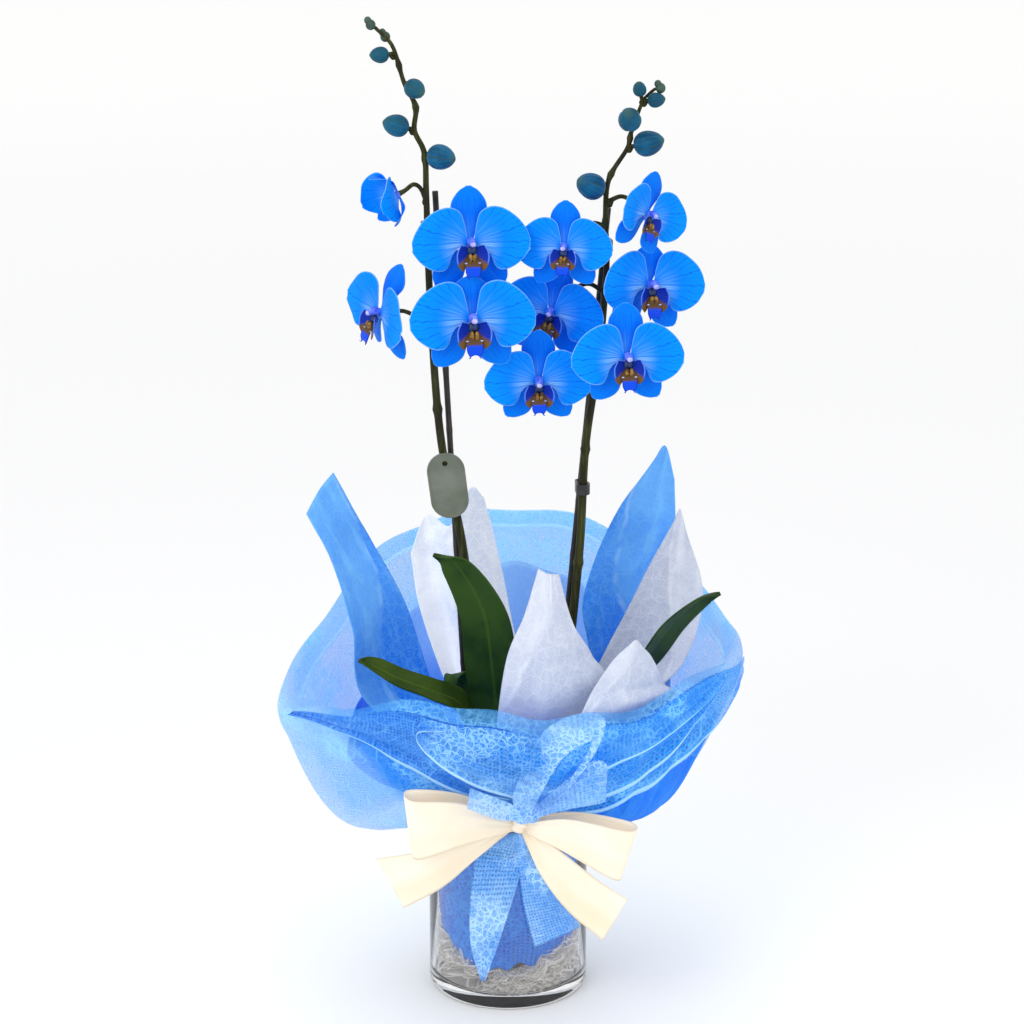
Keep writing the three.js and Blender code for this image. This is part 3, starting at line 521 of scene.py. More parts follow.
def organza_finish():
    """Sheer white strips with painted grey-brown shade, lighter streaks along them, white edges, and a
    painted glow.
    """
    finish = Finish("organza", 0.4, Specular_IOR_Level=0.4, Emission_Strength=0.12)
    streak = finish.map("Flat").stretched((25.0, 320.0, 1.0)).cloud(1.0, 3.0).between(0.35, 0.65)
    side = abs(finish.map("Marks").parts()[1] - 0.5)
    bright = (streak * 0.5).most(side.between(0.25, 0.45))
    # Painted shade: grey-brown where a strip is neither streaked nor at its edge, white elsewhere.
    colour = bright.mix((0.44, 0.41, 0.38), (1.0, 0.99, 0.97))
    alpha = bright.between(0.0, 1.0, 0.25, 0.7)
    return finish.done(colour, streak, 0.4, 0.0006, glowing=True, alpha=alpha)


def cloth_finish(name, deep, pale, lines, folds=0.5, glow=0.05, crease=None, top=None):
    """Opaque non-woven sheet: a pressed crackle, long soft folds with painted highlights, and fibres.

    crease gives the places across the sheet, at its foot and at its tip, of a fold between a plane with
    painted light and a plane with painted shade, with a painted highlight along the fold. top gives a tone
    that its back half takes higher up, two heights and its share at the upper. glow is painted light: the
    sheet gives off its own colour, as if lit through.
    """
    finish = Finish(name, 0.75, Specular_IOR_Level=0.2, Emission_Strength=glow)
    coords = finish.coords
    crackle = finish.use(CRACKLE, Vector=coords, Size=120.0, Width=0.1, Rings=3.0)
    fold = finish.map("Flat").stretched((95.0, 14.0, 1.0)).cloud(1.0, 3.0, 0.6).between(0.48, 0.66)
    tone = (crackle["Cloud"].between(0.3, 0.7) * 0.4).mix(deep, pale)
    # Painted highlights along the long soft folds.
    tone = (fold * folds).mix(tone, pale)
    if crease:
        across, up, _ = finish.map("Marks").parts()
        past = across + (coords.cloud(30.0, 3.0) - 0.5) * 0.3 - up.between(0.3, 1.0, *crease)
        # Painted light on the plane before the crease, painted shade on the plane after it, and a painted
        # highlight along the fold.
        tone = past.between(-0.10, 0.02, 0.3, 0.0).mix(tone, pale)
        tone = past.between(0.0, 0.05, 0.0, 0.45).mix(tone, deep)
        ridge_highlight = abs(past).between(0.0, 0.06, 0.5, 0.0) * coords.cloud(45.0).between(0.4, 0.6)
        tone = ridge_highlight.mix(tone, blend(pale, WHITE, 0.3))
    if top:
        high_tone, low, high, share = top
        _, back, height = coords.parts()
        tone = (height.between(low, high, 0.0, share) * back.between(-0.03, 0.0)).mix(tone, high_tone)
    colour = (crackle["Lines"] * lines).mix(tone, pale)
    relief = crackle["Lines"] * 0.4 + coords.cloud(900.0) * 0.25 + fold
    return finish.done(colour, relief, 0.45, 0.0007, glowing=True)


def satin_finish():
    """Cream satin: a fine weave, painted shade in broad soft folds, a darker selvedge, and a warm painted
    glow.
    """
    # The warm glow is painted light that lifts and warms the shaded parts.
    finish = Finish(
        "cream satin", 0.34, Specular_IOR_Level=0.5, Sheen_Weight=0.2, Anisotropic=0.5,
        Emission_Strength=0.07, Emission_Color=(0.97, 0.80, 0.55, 1)
    )
    flat = finish.map("Flat")
    tone = finish.coords.cloud(18.0).between(0.3, 0.7).mix((0.91, 0.80, 0.63), (0.975, 0.895, 0.75))
    # Painted shade in broad soft folds.
    fold = flat.stretched((5.0, 26.0, 1.0)).cloud(1.0, 0.0).between(0.45, 0.75, 0.0, 0.6)
    selvedge = abs(finish.map("Marks").parts()[1] - 0.5).between(0.465, 0.48)
    colour = (selvedge * 0.35).mix(fold.mix(tone, (0.82, 0.66, 0.43)), (0.76, 0.62, 0.44))
    return finish.done(colour, finish.use(WEAVE, Vector=flat, Threads=1400.0)["Height"], 0.12, 0.0001)


def petal_finish(name, edge, middle, claw, vein, strength):
    """A petal: painted highlights in pale streaks at its claw, fanned veins, and a thin pale rim."""
    finish = Finish(name, 0.55, Specular_IOR_Level=0.06)
    marks = finish.map("Marks")
    veins = finish.use(VEINS, Marks=marks, Count=10.0, Wobble=0.22)
    reach = veins["Reach"]
    body = reach.between(0.42, 0.95).mix(middle, edge)
    body = (finish.coords.cloud(70.0, 3.0).between(0.3, 0.7) * 0.25).mix(body, edge)
    body = (veins["Lines"] * strength).mix(body, vein)
    # Painted highlights: pale streaks that fan out from the claw, strongest on the lower side of the petal.
    near = reach.between(0.06, 0.2) * (1 - reach.between(0.16, 0.56))
    low = 1 - marks.parts()[0].between(-0.2, 0.7, 0.0, 0.8)
    fan = marks.stretched((14.0, 1.2, 1.0)).cloud(1.0).between(0.34, 0.7, 0.05, 0.95)
    rim = 1 - finish.map("Margin").parts()[0].between(0.0, 0.13)
    colour = (rim * 0.6).mix((near * low * fan).mix(body, claw), claw)
    return finish.done(colour, finish.coords.cloud(1500.0) * 0.15 - veins["Lines"] * 0.5, 0.3, 0.0005)


def blotched(name, rough, dark, light, size, depth=0.3, distance=0.0004):
    """A plain living or moulded surface: two tones in soft patches, with a fine grain."""
    finish = Finish(name, rough)
    colour = finish.coords.cloud(size, 4.0, 0.55).between(0.35, 0.65).mix(dark, light)
    return finish.done(colour, finish.coords.cloud(size * 6, 3.0), depth, distance)


def stem_finish():
    """Streaked green with dark patches."""
    finish = Finish("spike skin", 0.5, Specular_IOR_Level=0.12)
    streak = finish.coords.stretched((1, 1, 0.08)).cloud(420.0, 3.0).between(0.35, 0.65)
    patch = finish.coords.cloud(26.0, 3.0).between(0.38, 0.62)
    green = streak.mix((0.020, 0.025, 0.006), (0.062, 0.069, 0.017))
    return finish.done((patch * 0.75).mix(green, (0.018, 0.013, 0.009)), streak, 0.25, 0.0004)


def leaf_finish(name, dark, light):
    """A leaf: soft patches, faint lengthwise lines and a paler midrib."""
    finish = Finish(name, 0.45, Specular_IOR_Level=0.16)
    across = abs(finish.map("Marks").parts()[0] - 0.5)
    midrib = 1 - across.between(0.0, 0.05)
    wave = (across * 150.0).sine()
    tone = finish.coords.cloud(30.0, 3.0).between(0.35, 0.65).mix(dark, light)
    tone = wave.between(0.2, 1.0, 0.0, 0.14).mix(tone, light)
    return finish.done((midrib * 0.5).mix(tone, shaded(light, 1.9)), wave * 0.25 - midrib, 0.35, 0.0006)


def bud_finish():
    """A bud: three seams, fine stripes, a greener tip, and duller tones on the highest ones."""
    finish = Finish("bud skin", 0.45, Specular_IOR_Level=0.12)
    around, up, _ = finish.map("Marks").parts()
    seam = 1 - abs((around * (1.5 * tau)).sine()).between(0.0, 0.16)
    stripe = (around * (15 * tau)).sine().between(0.2, 1.0)
    tone = finish.coords.cloud(90.0, 3.0).between(0.35, 0.65).mix((0.001, 0.062, 0.175), (0.004, 0.12, 0.26))
    tone = (stripe * 0.3).mix(tone, (0.035, 0.15, 0.15))
    tone = finish.coords.parts()[2].between(0.62, 0.70, 0.0, 0.6).mix(tone, (0.012, 0.075, 0.09))
    tone = (up.between(0.72, 1.0) * 0.55).mix(tone, (0.06, 0.13, 0.06))
    return finish.done((seam * 0.7).mix(tone, (0.035, 0.07, 0.05)), stripe - seam, 0.3, 0.0004)


def glass_finish():
    """Clear glass with a painted dark reflection: greyer where it is seen edge on."""
    finish = Finish("clear glass", 0.0, IOR=1.45, Transmission_Weight=0.985)
    facing = node(finish.tree, "ShaderNodeLayerWeight", {"Blend": 0.35}, output="Facing")
    # Painted reflection: the colour darkens to grey-brown where the glass is seen edge on.
    colour = facing.between(0.35, 1.0).mix((0.985, 0.98, 0.975), (0.66, 0.63, 0.61))
    return finish.done(colour, finish.coords.cloud(12.0), 0.05, 0.0008)


def lip_finish(name, low, high, edge, start, end):
    """A lip lobe: low tone to high tone between start and end of Marks' x, and an edge tone at its side."""
    finish = Finish(name, 0.4, Specular_IOR_Level=0.15)
    along, side, _ = finish.map("Marks").parts()
    far = along.between(start, end)
    wave = (along * 55.0).sine()
    body = wave.between(0.2, 1.0, 0.0, 0.3).mix(far.mix(low, high), shaded(high, 0.4))
    return finish.done((side.between(0.82, 1.0) * far).mix(body, edge), wave, 0.2, 0.0003)


NET = net_finish(
    "blue net", (0.008, 0.34, 0.97), (0.34, 0.77, 1.0), 0.26, 0.3, hem=0.02, cuff=0.5, back=0.27
)
# The folded net in two copies of one material: painted shade makes the left fold deeper, and painted light
# makes the right folds lighter.
FOLDED_NET = net_finish(
    "folded blue net", (0.002, 0.165, 0.83), (0.22, 0.60, 1.0), 0.56, 0.15, threads=240.0,
    pleats=0.3, cover=0.16
)
LIT_FOLDED_NET = net_finish(
    "lit folded blue net", (0.004, 0.27, 0.94), (0.28, 0.68, 1.0), 0.5, 0.15, glow=0.18,
    threads=240.0, pleats=0.22, cover=0.08
)
OVERLAP_NET = net_finish(
    "overlapping blue net", (0.02, 0.30, 0.94), (0.42, 0.76, 1.0), 0.44, 0.2, hem=0.07,
    threads=240.0, pleats=0.4
)
SLEEVE_NET = net_finish(
    "sleeve net", (0.0, 0.125, 0.80), (0.03, 0.37, 0.96), 0.88, 0.0, hem=0.0, glow=0.15, threads=310.0
)
PALE_NET = net_finish(
    "pale net", (0.09, 0.38, 0.92), (0.60, 0.85, 1.0), 0.46, 0.6, hem=0.0, glow=0.16,
    threads=330.0, cover=0.03
)
BLUE_CLOTH = cloth_finish(
    "blue non-woven", (0.008, 0.205, 0.93), (0.21, 0.57, 1.0), 0.24, folds=0.6, crease=(0.35, 0.95),
    top=((0.17, 0.50, 1.0), 0.26, 0.40, 0.35)
)
DEEP_BLUE_CLOTH = cloth_finish(
    "deep blue non-woven", (0.004, 0.155, 0.86), (0.06, 0.36, 0.97), 0.14, folds=0.35,
    top=((0.36, 0.64, 1.0), 0.19, 0.25, 0.9)
)
WHITE_CLOTH = cloth_finish(
    "white non-woven", (0.43, 0.48, 0.62), (0.70, 0.74, 0.82), 0.3, glow=0.11, crease=(0.05, 0.60)
)
# A lighter copy of the white non-woven with a stronger painted glow, for the left sheet: painted light.
LIT_WHITE_CLOTH = cloth_finish(
    "lit white non-woven", (0.56, 0.62, 0.74), (0.86, 0.88, 0.92), 0.3, glow=0.34, crease=(0.35, 0.55)
)
SATIN = satin_finish()
PETAL = petal_finish(
    "petal", (0.0, 0.275, 0.96), (0.0, 0.225, 0.91), (0.32, 0.62, 1.0), (0.0, 0.10, 0.70), 0.75
)
SEPAL = petal_finish(
    "sepal", (0.0, 0.205, 0.92), (0.0, 0.155, 0.84), (0.10, 0.42, 0.97), (0.0, 0.075, 0.6), 0.7
)
COLUMN = blotched("column", 0.35, (0.05, 0.10, 0.78), (0.18, 0.28, 0.93), 260.0)
CAP = blotched("anther cap", 0.4, (0.24, 0.27, 0.82), (0.58, 0.55, 0.92), 500.0)
LIP_EAR = lip_finish("lip ear", (0.17, 0.085, 0.006), (0.0, 0.024, 0.40), (0.10, 0.26, 0.95), 0.30, 0.48)
LIP_TONGUE = lip_finish("lip tongue", (0.12, 0.06, 0.004), (0.0, 0.07, 0.80), (0.0, 0.015, 0.40), 0.42, 0.56)
# Nearly black painted shade for the shaded gap below the column; it colours the root of the lip.
THROAT_SHADE = blotched("lip throat shade", 0.4, (0.0, 0.008, 0.05), (0.0, 0.03, 0.16), 300.0)
CALLUS = blotched("callus", 0.3, (0.035, 0.014, 0.002), (0.36, 0.20, 0.02), 380.0, 0.4)
GLINT = blotched("lip glint", 0.3, (0.30, 0.42, 0.85), (0.55, 0.68, 0.98), 500.0)
STEM = stem_finish()
BUD = bud_finish()
LEAF = leaf_finish("leaf", (0.010, 0.036, 0.004), (0.028, 0.072, 0.008))
OLIVE_LEAF = leaf_finish("olive leaf", (0.020, 0.052, 0.003), (0.050, 0.095, 0.006))
CROWN = blotched("crown", 0.5, (0.02, 0.05, 0.008), (0.07, 0.11, 0.02), 60.0)
CANE = blotched("cane", 0.5, (0.006, 0.005, 0.004), (0.028, 0.018, 0.012), 70.0, 0.4)
CLIP = blotched("clip", 0.35, (0.006, 0.006, 0.007), (0.02, 0.02, 0.022), 200.0)
TIP = blotched("tip bud", 0.5, (0.012, 0.045, 0.030), (0.035, 0.095, 0.065), 150.0)
TAG = blotched("tag", 0.4, (0.115, 0.135, 0.10), (0.17, 0.19, 0.15), 40.0, 0.2)
POT = blotched("pot plastic", 0.45, (0.10, 0.035, 0.012), (0.17, 0.065, 0.025), 35.0)
BARK = blotched("bark", 0.9, (0.018, 0.008, 0.004), (0.13, 0.06, 0.025), 160.0, 0.9, 0.002)
SHREDS = organza_finish()
GLASS = glass_finish()


# Vase, pot and what fills them
def vase():
    inner = VASE_RADIUS - VASE_WALL
    bead = VASE_WALL / 2
    base = [(0, 1.2), (VASE_RADIUS - 14, 1.0), (VASE_RADIUS - 10, 0.0)]
    bm = turned([
        *base,
        *arc(VASE_RADIUS - VASE_CORNER, VASE_CORNER, VASE_CORNER, -90, 0, 8),
        *arc(VASE_RADIUS - bead, VASE_HEIGHT - bead, bead, 0, 180, 10),
        *arc(inner - 6, VASE_FLOOR + 6, 6, 0, -90, 8),
        (0, VASE_FLOOR - 0.8),
    ], 128)
    place(bm, "vase", GLASS, "clear_glass", ["glass_vase"])


def pot():
    shoulder = POT_TOP - 7
    inside = POT_WALL_TOP_RADIUS - POT_WALL
    bm = turned([
        (0, POT_BASE + 1.5),
        (POT_FOOT_RADIUS - 6, POT_BASE + 1.5),
        *arc(POT_FOOT_RADIUS - 2, POT_BASE + 2, 2, -90, 0, 4),
        (POT_WALL_TOP_RADIUS, shoulder),
        (POT_RIM_RADIUS, shoulder + 1),
        *arc(POT_RIM_RADIUS - 0.6, POT_TOP - 0.6, 0.6, 0, 90, 3),
        (inside, POT_TOP),
        (inside, shoulder),
        (POT_FOOT_RADIUS - POT_WALL, POT_BASE + 3),
        (0, POT_BASE + 2.7),
    ], 72)
    place(bm, "pot", POT, "pot_plastic", ["nursery_pot"])


CHIP_COUNT = 150


def bark():
    """The bark bed: a rough top with loose chips lying on it."""
    draw = random.Random(5)
    bed = turned([
        (0, POT_BASE + 4),
        (POT_FOOT_RADIUS - 2, POT_BASE + 4),
        (POT_WALL_TOP_RADIUS - 2, BARK_TOP - 4),
        *[(r, BARK_TOP - 3) for r in range(43, 0, -3)],
        (0, BARK_TOP - 3),
    ], 48)
    for vert in bed.verts:
        if vert.co.z > (BARK_TOP - 5) * MM:
            vert.co.z += 1.8 * MM * ripple(vert.co / MM, 6)
    chips = [bed]
    for _ in range(CHIP_COUNT):
        chip = bmesh.new()
        bmesh.ops.create_icosphere(chip, subdivisions=1, radius=1)
        for vert in chip.verts:
            vert.co *= 1 + 0.35 * noise.noise(vert.co * 1.7 + Vector((draw.random() * 9, 0, 0)))
        size = Vector((draw.uniform(3, 6), draw.uniform(2, 4), draw.uniform(1.2, 2.2))) * MM
        bmesh.ops.scale(chip, verts=chip.verts, vec=size)
        turn = Matrix.Rotation(draw.uniform(0, 6.3), 3, "Z")
        turn = turn @ Matrix.Rotation(draw.uniform(-0.5, 0.5), 3, "X")
        bmesh.ops.rotate(chip, verts=chip.verts, matrix=turn)
        spot = polar(38 * sqrt(draw.uniform(0.08, 1)), draw.uniform(0, 360), BARK_TOP - 2.5)
        bmesh.ops.translate(chip, verts=chip.verts, vec=Vector(spot) * MM)
        chips.append(chip)
    place(join(chips), "bark", BARK, "bark", ["bark_mix"], smooth=False)


SHRED_COUNT = 60
SHRED_WIDTH = 12
SHRED_TOP = 70
SHRED_DIP = 44
SHRED_REACH = 55.5
SHRED_THICKNESS = 0.25


def shreds():
    """Crumpled organza strips between vase and pot, each curling round the pot, lower in front."""
    draw = random.Random(11)
    strips = []
    for _ in range(SHRED_COUNT):
        start = draw.uniform(0, 360)
        sweep = draw.uniform(35, 80) * draw.choice((-1, 1))
        low = draw.uniform(12, 56)
        rise = draw.uniform(-14, 14)
        waves = draw.uniform(1.2, 2.6)
        phase = draw.uniform(0, 6.3)
        lean = draw.uniform(-1, 1)
        half = SHRED_WIDTH * draw.uniform(0.35, 0.65)

        def strip(u, v):
            side = (2 * v - 1) * half
            turn = start + sweep * u
            front = max(0, -sin(radians(turn))) ** 2
            z = low + rise * u + 4 * sin(waves * 6.3 * u + phase) + side * (1 - 0.4 * abs(lean))
            z = max(VASE_FLOOR + 1.5, VASE_FLOOR + (z - VASE_FLOOR) * (1 - 0.6 * front))
            z = min(SHRED_TOP - SHRED_DIP * front, z)
            inner = (30 if z < 22 else 39) + 11.5 * ease(z, 22, 62)
            deep = 0.5 + 0.5 * sin(waves * 7 * u + 2 * phase + lean * side * 0.3)
            return polar(inner + (SHRED_REACH - inner) * (0.2 + 0.8 * deep), turn + 0.25 * side * lean, z)

        strips.append(thick(grid(strip, 34, 3, (0.1, SHRED_WIDTH * MM)), SHRED_THICKNESS))
    piece = place(join(strips), "organza_strips", SHREDS, "organza_shreds", ["organza_shreds"])


# Net
SLEEVE_HEIGHTS = [36, 50, 66, 84, 104, 121]
SLEEVE_RADII = [44, 50.5, 53, 54, 53.6, 51.8]
SLEEVE_FULLNESS = 4


def sleeve():
    rail = list(zip(SLEEVE_RADII, SLEEVE_HEIGHTS))

    def cloth(u, v):
        degrees = 360 * u
        radius, z = spline(rail, v)
        low = max(0, -sin(radians(degrees))) ** 2.5
        free = 1 - v
        radius += SLEEVE_FULLNESS * low * free**1.5
        folds = 0.8 * free * sin(radians(9 * degrees))
        bunch = 3 * sin(radians(2 * degrees))
        folds += (0.5 + 0.8 * free) * sin(radians(23 * degrees) + bunch)
        hem = free**2 * (4 * sin(radians(4 * degrees + 40)) - 8 * low)
        hem += 1.5 * free**3 * sin(radians(17 * degrees))
        return polar(radius + folds + 0.6, degrees, z + hem)

    bm = thick(grid(cloth, 220, 44, (0.31, 0.09), lambda u, v: (u, 1 - v), closed=True), NET_THICKNESS)
    piece = place(bm, "sleeve", SLEEVE_NET, "blue_net", ["net_sleeve"])


BOWL_RIM = [
    (175, 0, 268), (149, 110, 280), (80, 155, 311), (10, 166, 325), (-84, 126, 318), (-142, 70, 268),
    (-171, -20, 232), (-122, -85, 250), (-60, -112, 259), (16, -118, 247), (94, -95, 251), (150, -52, 268),
]
CUFF_WIDTH = 15
CUFF_ROUND = 4
CUFF_DROP = 9


def bowl(foot, neck, reach, drop, sag, foot_share, cuff_share, folds):
    """Gathered cloth from a foot through a neck to a wide rim; folds(angle, s) moves it out and up."""

    def cloth(u, v):
        x, y, edge = spline(BOWL_RIM, u % 1, closed=True)
        angle = atan2(y, x)
        span = hypot(x, y) * reach
        top = edge - drop
        if v <= foot_share:
            up = v / foot_share
            radius = foot[0] + (neck[0] - foot[0]) * min(1, up * 2)
            z = foot[1] + (neck[1] - foot[1]) * up
            radius += 0.5 * sin(40 * angle)
            return radius * cos(angle), radius * sin(angle), z
        s = min(1, (v - foot_share) / (cuff_share - foot_share))
        front = max(0, -sin(angle)) ** 3
        right = max(0, cos(angle)) ** 2
        out = sin(s * pi / 2) ** (1 + 1.2 * front + 0.5 * right)
        belly = sin(pi * min(1, s / 0.8)) ** 1.5
        droop = sag * (1 - front) * (1 - 0.1 * right) * belly
        radius = neck[0] + (span - neck[0]) * out
        z = neck[1] + (top - neck[1]) * (1 - cos(s * pi / 2)) - droop
        outward, upward = folds(angle, s)
        radius += outward
        z += upward
        if v > cuff_share:
            turn = (v - cuff_share) / (1 - cuff_share)
            radius -= CUFF_WIDTH * turn
            z += (CUFF_ROUND + 8 * front) * sin(pi * turn) - CUFF_DROP * turn * turn
        return radius * cos(angle), radius * sin(angle), z

    return cloth


def net_folds(angle, s):
    """Gathers that fan out from the neck and soften towards the rim, with a few broad waves."""
    spread = sin(pi * min(1, s * 1.05)) if s < 0.95 else 0.06
    gather = exp(-3.2 * s)
    crest = abs(sin(13 * angle + 2.2 * sin(2 * angle) + 1.5 * s))
    fine = abs(sin(29 * angle + 3 * sin(3 * angle) - 2 * s))
    swell = sin(7 * angle + 5 * s + 0.8 * sin(3 * angle))
    rim = 2.2 * sin(11 * angle + 0.7) * ease(s, 0.6, 1)
    outward = 4.5 * (crest - 0.6) * spread * (0.5 + gather) + 2.0 * (fine - 0.6) * gather * spread
    outward += 2.2 * swell * spread * ease(s, 0.1, 0.5)
    return outward * (1 - 0.5 * max(0, -sin(angle))), rim + 1.5 * swell * spread


NET_FOOT = 2 / 12
NET_CUFF = 10 / 12
NET_CLOTH = bowl((48.5, POT_TOP + 0.3), (NECK_RADIUS, NECK_TOP), 1, 0, 42, NET_FOOT, NET_CUFF, net_folds)
# Folds of doubled net over the front of the bowl, the last one a round end left of the net bow: how far each
# stands out, its number in the net's finishes, and its lower hem as places round the rim and shares of the
# way up from the neck
SWAGS = [
    (3.5, 1, [
        (0.535, 0.98), (0.598, 0.89), (0.632, 0.75), (0.657, 0.66), (0.677, 0.55), (0.70, 0.38), (0.735, 0.20)
    ]),
    (3.0, 3, [
        (0.985, 0.84), (0.95, 0.70), (0.902, 0.64), (0.877, 0.60), (0.85, 0.55), (0.815, 0.40), (0.765, 0.20)
    ]),
    (6.0, 3, [
        (0.925, 0.97), (0.905, 0.87), (0.885, 0.74), (0.85, 0.65), (0.825, 0.58), (0.79, 0.42), (0.765, 0.30)
    ]),
    (8.5, 3, [
        (0.915, 0.98), (0.892, 0.90), (0.865, 0.86), (0.833, 0.80), (0.805, 0.72), (0.78, 0.60), (0.755, 0.46)
    ]),
    (11, 2, [
        (0.69, 0.985), (0.668, 0.93), (0.672, 0.82), (0.695, 0.66), (0.722, 0.52), (0.748, 0.40), (0.77, 0.34)
    ]),
]


def on_net(around, share, push):
    """A spot this far outside the net wrap, at a place round the rim and a share of the way up to it."""
    x, y, z = NET_CLOTH(around, NET_FOOT + (NET_CUFF - NET_FOOT) * min(0.999, share))
    away = 1 + push / hypot(x, y)
    return x * away, y * away, z


def swag(hem, stand):
    """A fold of net from its lower hem up to the rim, which it meets."""
    def skin(u, v):
        around, low = spline(hem, u)
        pleat = 1.8 * sin(tau * (2.4 * v + 0.5 * u)) * (1 - v)
        push = stand * (1 - 0.6 * v) + pleat + 0.8 * ripple((300 * around, 80 * v, stand), 18)
        return on_net(around, low + (1 - low) * v, push)

    return thick(grid(skin, 90, 26, (0.22, 0.08), lambda u, v: (u, 1 - v)), NET_THICKNESS)


def net_bowl():
    layers = [thick(grid(NET_CLOTH, 360, 92, (0.95, 0.33), closed=True), NET_THICKNESS)]
    layers += [painted(swag(hem, stand), finish) for stand, finish, hem in SWAGS]
    finishes = [NET, FOLDED_NET, OVERLAP_NET, LIT_FOLDED_NET]
    piece = place(join(layers), "net_wrap", finishes, "blue_net", ["net_bowl"])


def collar_folds(angle, s):
    crest = abs(sin(8 * angle + 1.5 * sin(2 * angle)))
    spread = sin(pi * min(1, s))
    ragged = 9 * sin(5 * angle + 1) + 6 * sin(13 * angle)
    return 4 * (crest - 0.6) * (0.3 + s) * (0.3 + spread), ragged * ease(s, 0.5, 1) * 0.5


# Lobes of the collar inside the front of the net: their two sides, given like the hems of the net's folds
COLLAR_LOBES = [
    ([(0.598, 0.90), (0.613, 0.71), (0.63, 0.60), (0.655, 0.40), (0.68, 0.12)],
     [(0.765, 0.90), (0.765, 0.72), (0.765, 0.55), (0.765, 0.35), (0.765, 0.12)]),
    ([(0.76, 0.90), (0.76, 0.72), (0.76, 0.52), (0.76, 0.32), (0.76, 0.10)],
     [(0.90, 0.92), (0.95, 0.78), (0.995, 0.62), (0.99, 0.36), (0.97, 0.10)]),
]
COLLAR_LOBE_GAP = 2.2
COLLAR_LOBE_SWELL = 13


def collar_lobe(left, right):
    def skin(u, v):
        start, low = spline(left, v)
        end, high = spline(right, v)
        around, share = start + (end - start) * u, low + (high - low) * u
        swell = COLLAR_LOBE_SWELL * ease(around, 0.80, 0.91) * hump(share, 0.40, 0.17)
        swell *= 1 - ease(around, 0.95, 1.0)
        return on_net(around, share, swell - COLLAR_LOBE_GAP)

    return thick(grid(skin, 60, 40, (0.15, 0.1)), SHEET_THICKNESS)


def collar():
    cloth = bowl((42.8, BARK_TOP + 0.3), (NECK_RADIUS - 4, NECK_TOP + 2), 0.7, 32, 10, 2 / 6, 1, collar_folds)
    parts = [thick(grid(cloth, 260, 60, (0.7, 0.2), closed=True), NET_THICKNESS)]
    parts += [collar_lobe(*sides) for sides in COLLAR_LOBES]
    piece = place(join(parts), "inner_collar", DEEP_BLUE_CLOTH, "blue_nonwoven", ["paper_collar"])


# Standing sheets: finish, slot, flat size, curl, foot on the bark (radius, direction and spread), and rails
# above the neck
SHEETS = {
    "blue_sheet_left": (BLUE_CLOTH, "blue_nonwoven", (0.052, 0.29), 5, (36, 176, 12), [
        [(-106, -8, 229), (-115, -8, 286), (-129, -5, 336), (-148, 0, 374)],
        [(-85, 20, 228), (-97, 25, 294), (-118, 25, 341), (-139, 15, 388)],
        [(-58, 36, 228), (-78, 42, 291), (-102, 38, 340), (-129, 22, 399)],
    ]),
    "blue_sheet_right": (BLUE_CLOTH, "blue_nonwoven", (0.045, 0.30), 4, (37, 60, 14), [
        [(114, 42, 254), (121, 48, 299), (126, 53, 344), (125, 52, 384)],
        [(86, 50, 243), (89, 56, 296), (104, 60, 350), (118, 55, 410)],
        [(59, 46, 236), (57, 57, 287), (79, 60, 350), (109, 55, 398)],
    ]),
    "white_sheet_right": (WHITE_CLOTH, "white_nonwoven", (0.045, 0.25), 4, (37, 8, 13), [
        [(113, 6, 234), (136, 12, 262), (146, 22, 306), (133, 32, 351)],
        [(104, 20, 249), (113, 28, 285), (120, 32, 318), (129, 36, 366)],
        [(70, 25, 250), (88, 31, 285), (105, 34, 320), (126, 36, 360)],
    ]),
    "white_sheet_centre": (WHITE_CLOTH, "white_nonwoven", (0.05, 0.24), 3, (36, -93, 16), [
        [(-7, -68, 244), (0, -66, 288), (12, -60, 316), (22, -52, 349)],
        [(27, -78, 246), (29, -74, 287), (31, -64, 317), (29, -54, 346)],
        [(70, -58, 255), (61, -58, 285), (47, -56, 309), (37, -52, 345)],
    ]),
    "white_sheet_front": (WHITE_CLOTH, "white_nonwoven", (0.05, 0.19), 3, (36, -47, 15), [
        [(47, -84, 238), (60, -82, 264), (75, -75, 285), (89, -68, 297)],
        [(79, -80, 244), (86, -76, 266), (91, -71, 286), (93, -66, 299)],
        [(116, -56, 247), (114, -58, 263), (105, -60, 283), (99, -62, 291)],
    ]),
    "white_sheet_left": (LIT_WHITE_CLOTH, "white_nonwoven", (0.055, 0.26), 3, (37, 112, 16), [
        [(-47, 32, 229), (-66, 37, 285), (-72, 39, 322), (-73, 40, 330)],
        [(-40, 42, 229), (-52, 48, 291), (-60, 46, 335), (-61, 45, 359)],
        [(-30, 36, 231), (-38, 40, 293), (-42, 40, 335), (-43, 40, 352)],
        [(-14, 42, 228), (-20, 50, 290), (-26, 49, 340), (-28, 48, 379)],
        [(9, 44, 227), (0, 49, 290), (-10, 48, 340), (-18, 46, 372)],
    ]),
}


def standing_sheet(name, finish, slot, flat, curl, foot, rails):
    radius, middle, spread = foot
    (ax, ay, _), (bx, by, _) = rails[0][0], rails[-1][0]
    way = 1 if bx * ay - by * ax > 0 else -1
    full = []
    for i, rail in enumerate(rails):
        degrees = middle + spread * way * (1 - 2 * i / (len(rails) - 1))
        full.append([polar(radius, degrees, BARK_TOP + 0.3), polar(radius - 1, degrees, NECK_TOP + 8), *rail])
    surface = through(full)

    def cloth(u, v):
        spot = surface(v, u)
        free = ease(v, 0.3, 0.7)
        wrinkle = 2.2 * ripple(spot, 26, 3.1) + 0.9 * ripple(spot, 9, 1.7)
        crease = -0.3 * curl * hump(u - 0.5 - 0.1 * sin(5 * v), 0, 0.1)
        return spot[0], spot[1] + free * (wrinkle + crease), spot[2]

    bm = thick(grid(cloth, 36, 72, flat), SHEET_THICKNESS)
    piece = place(bm, name.replace("sheet", "wrap"), finish, slot, [name])


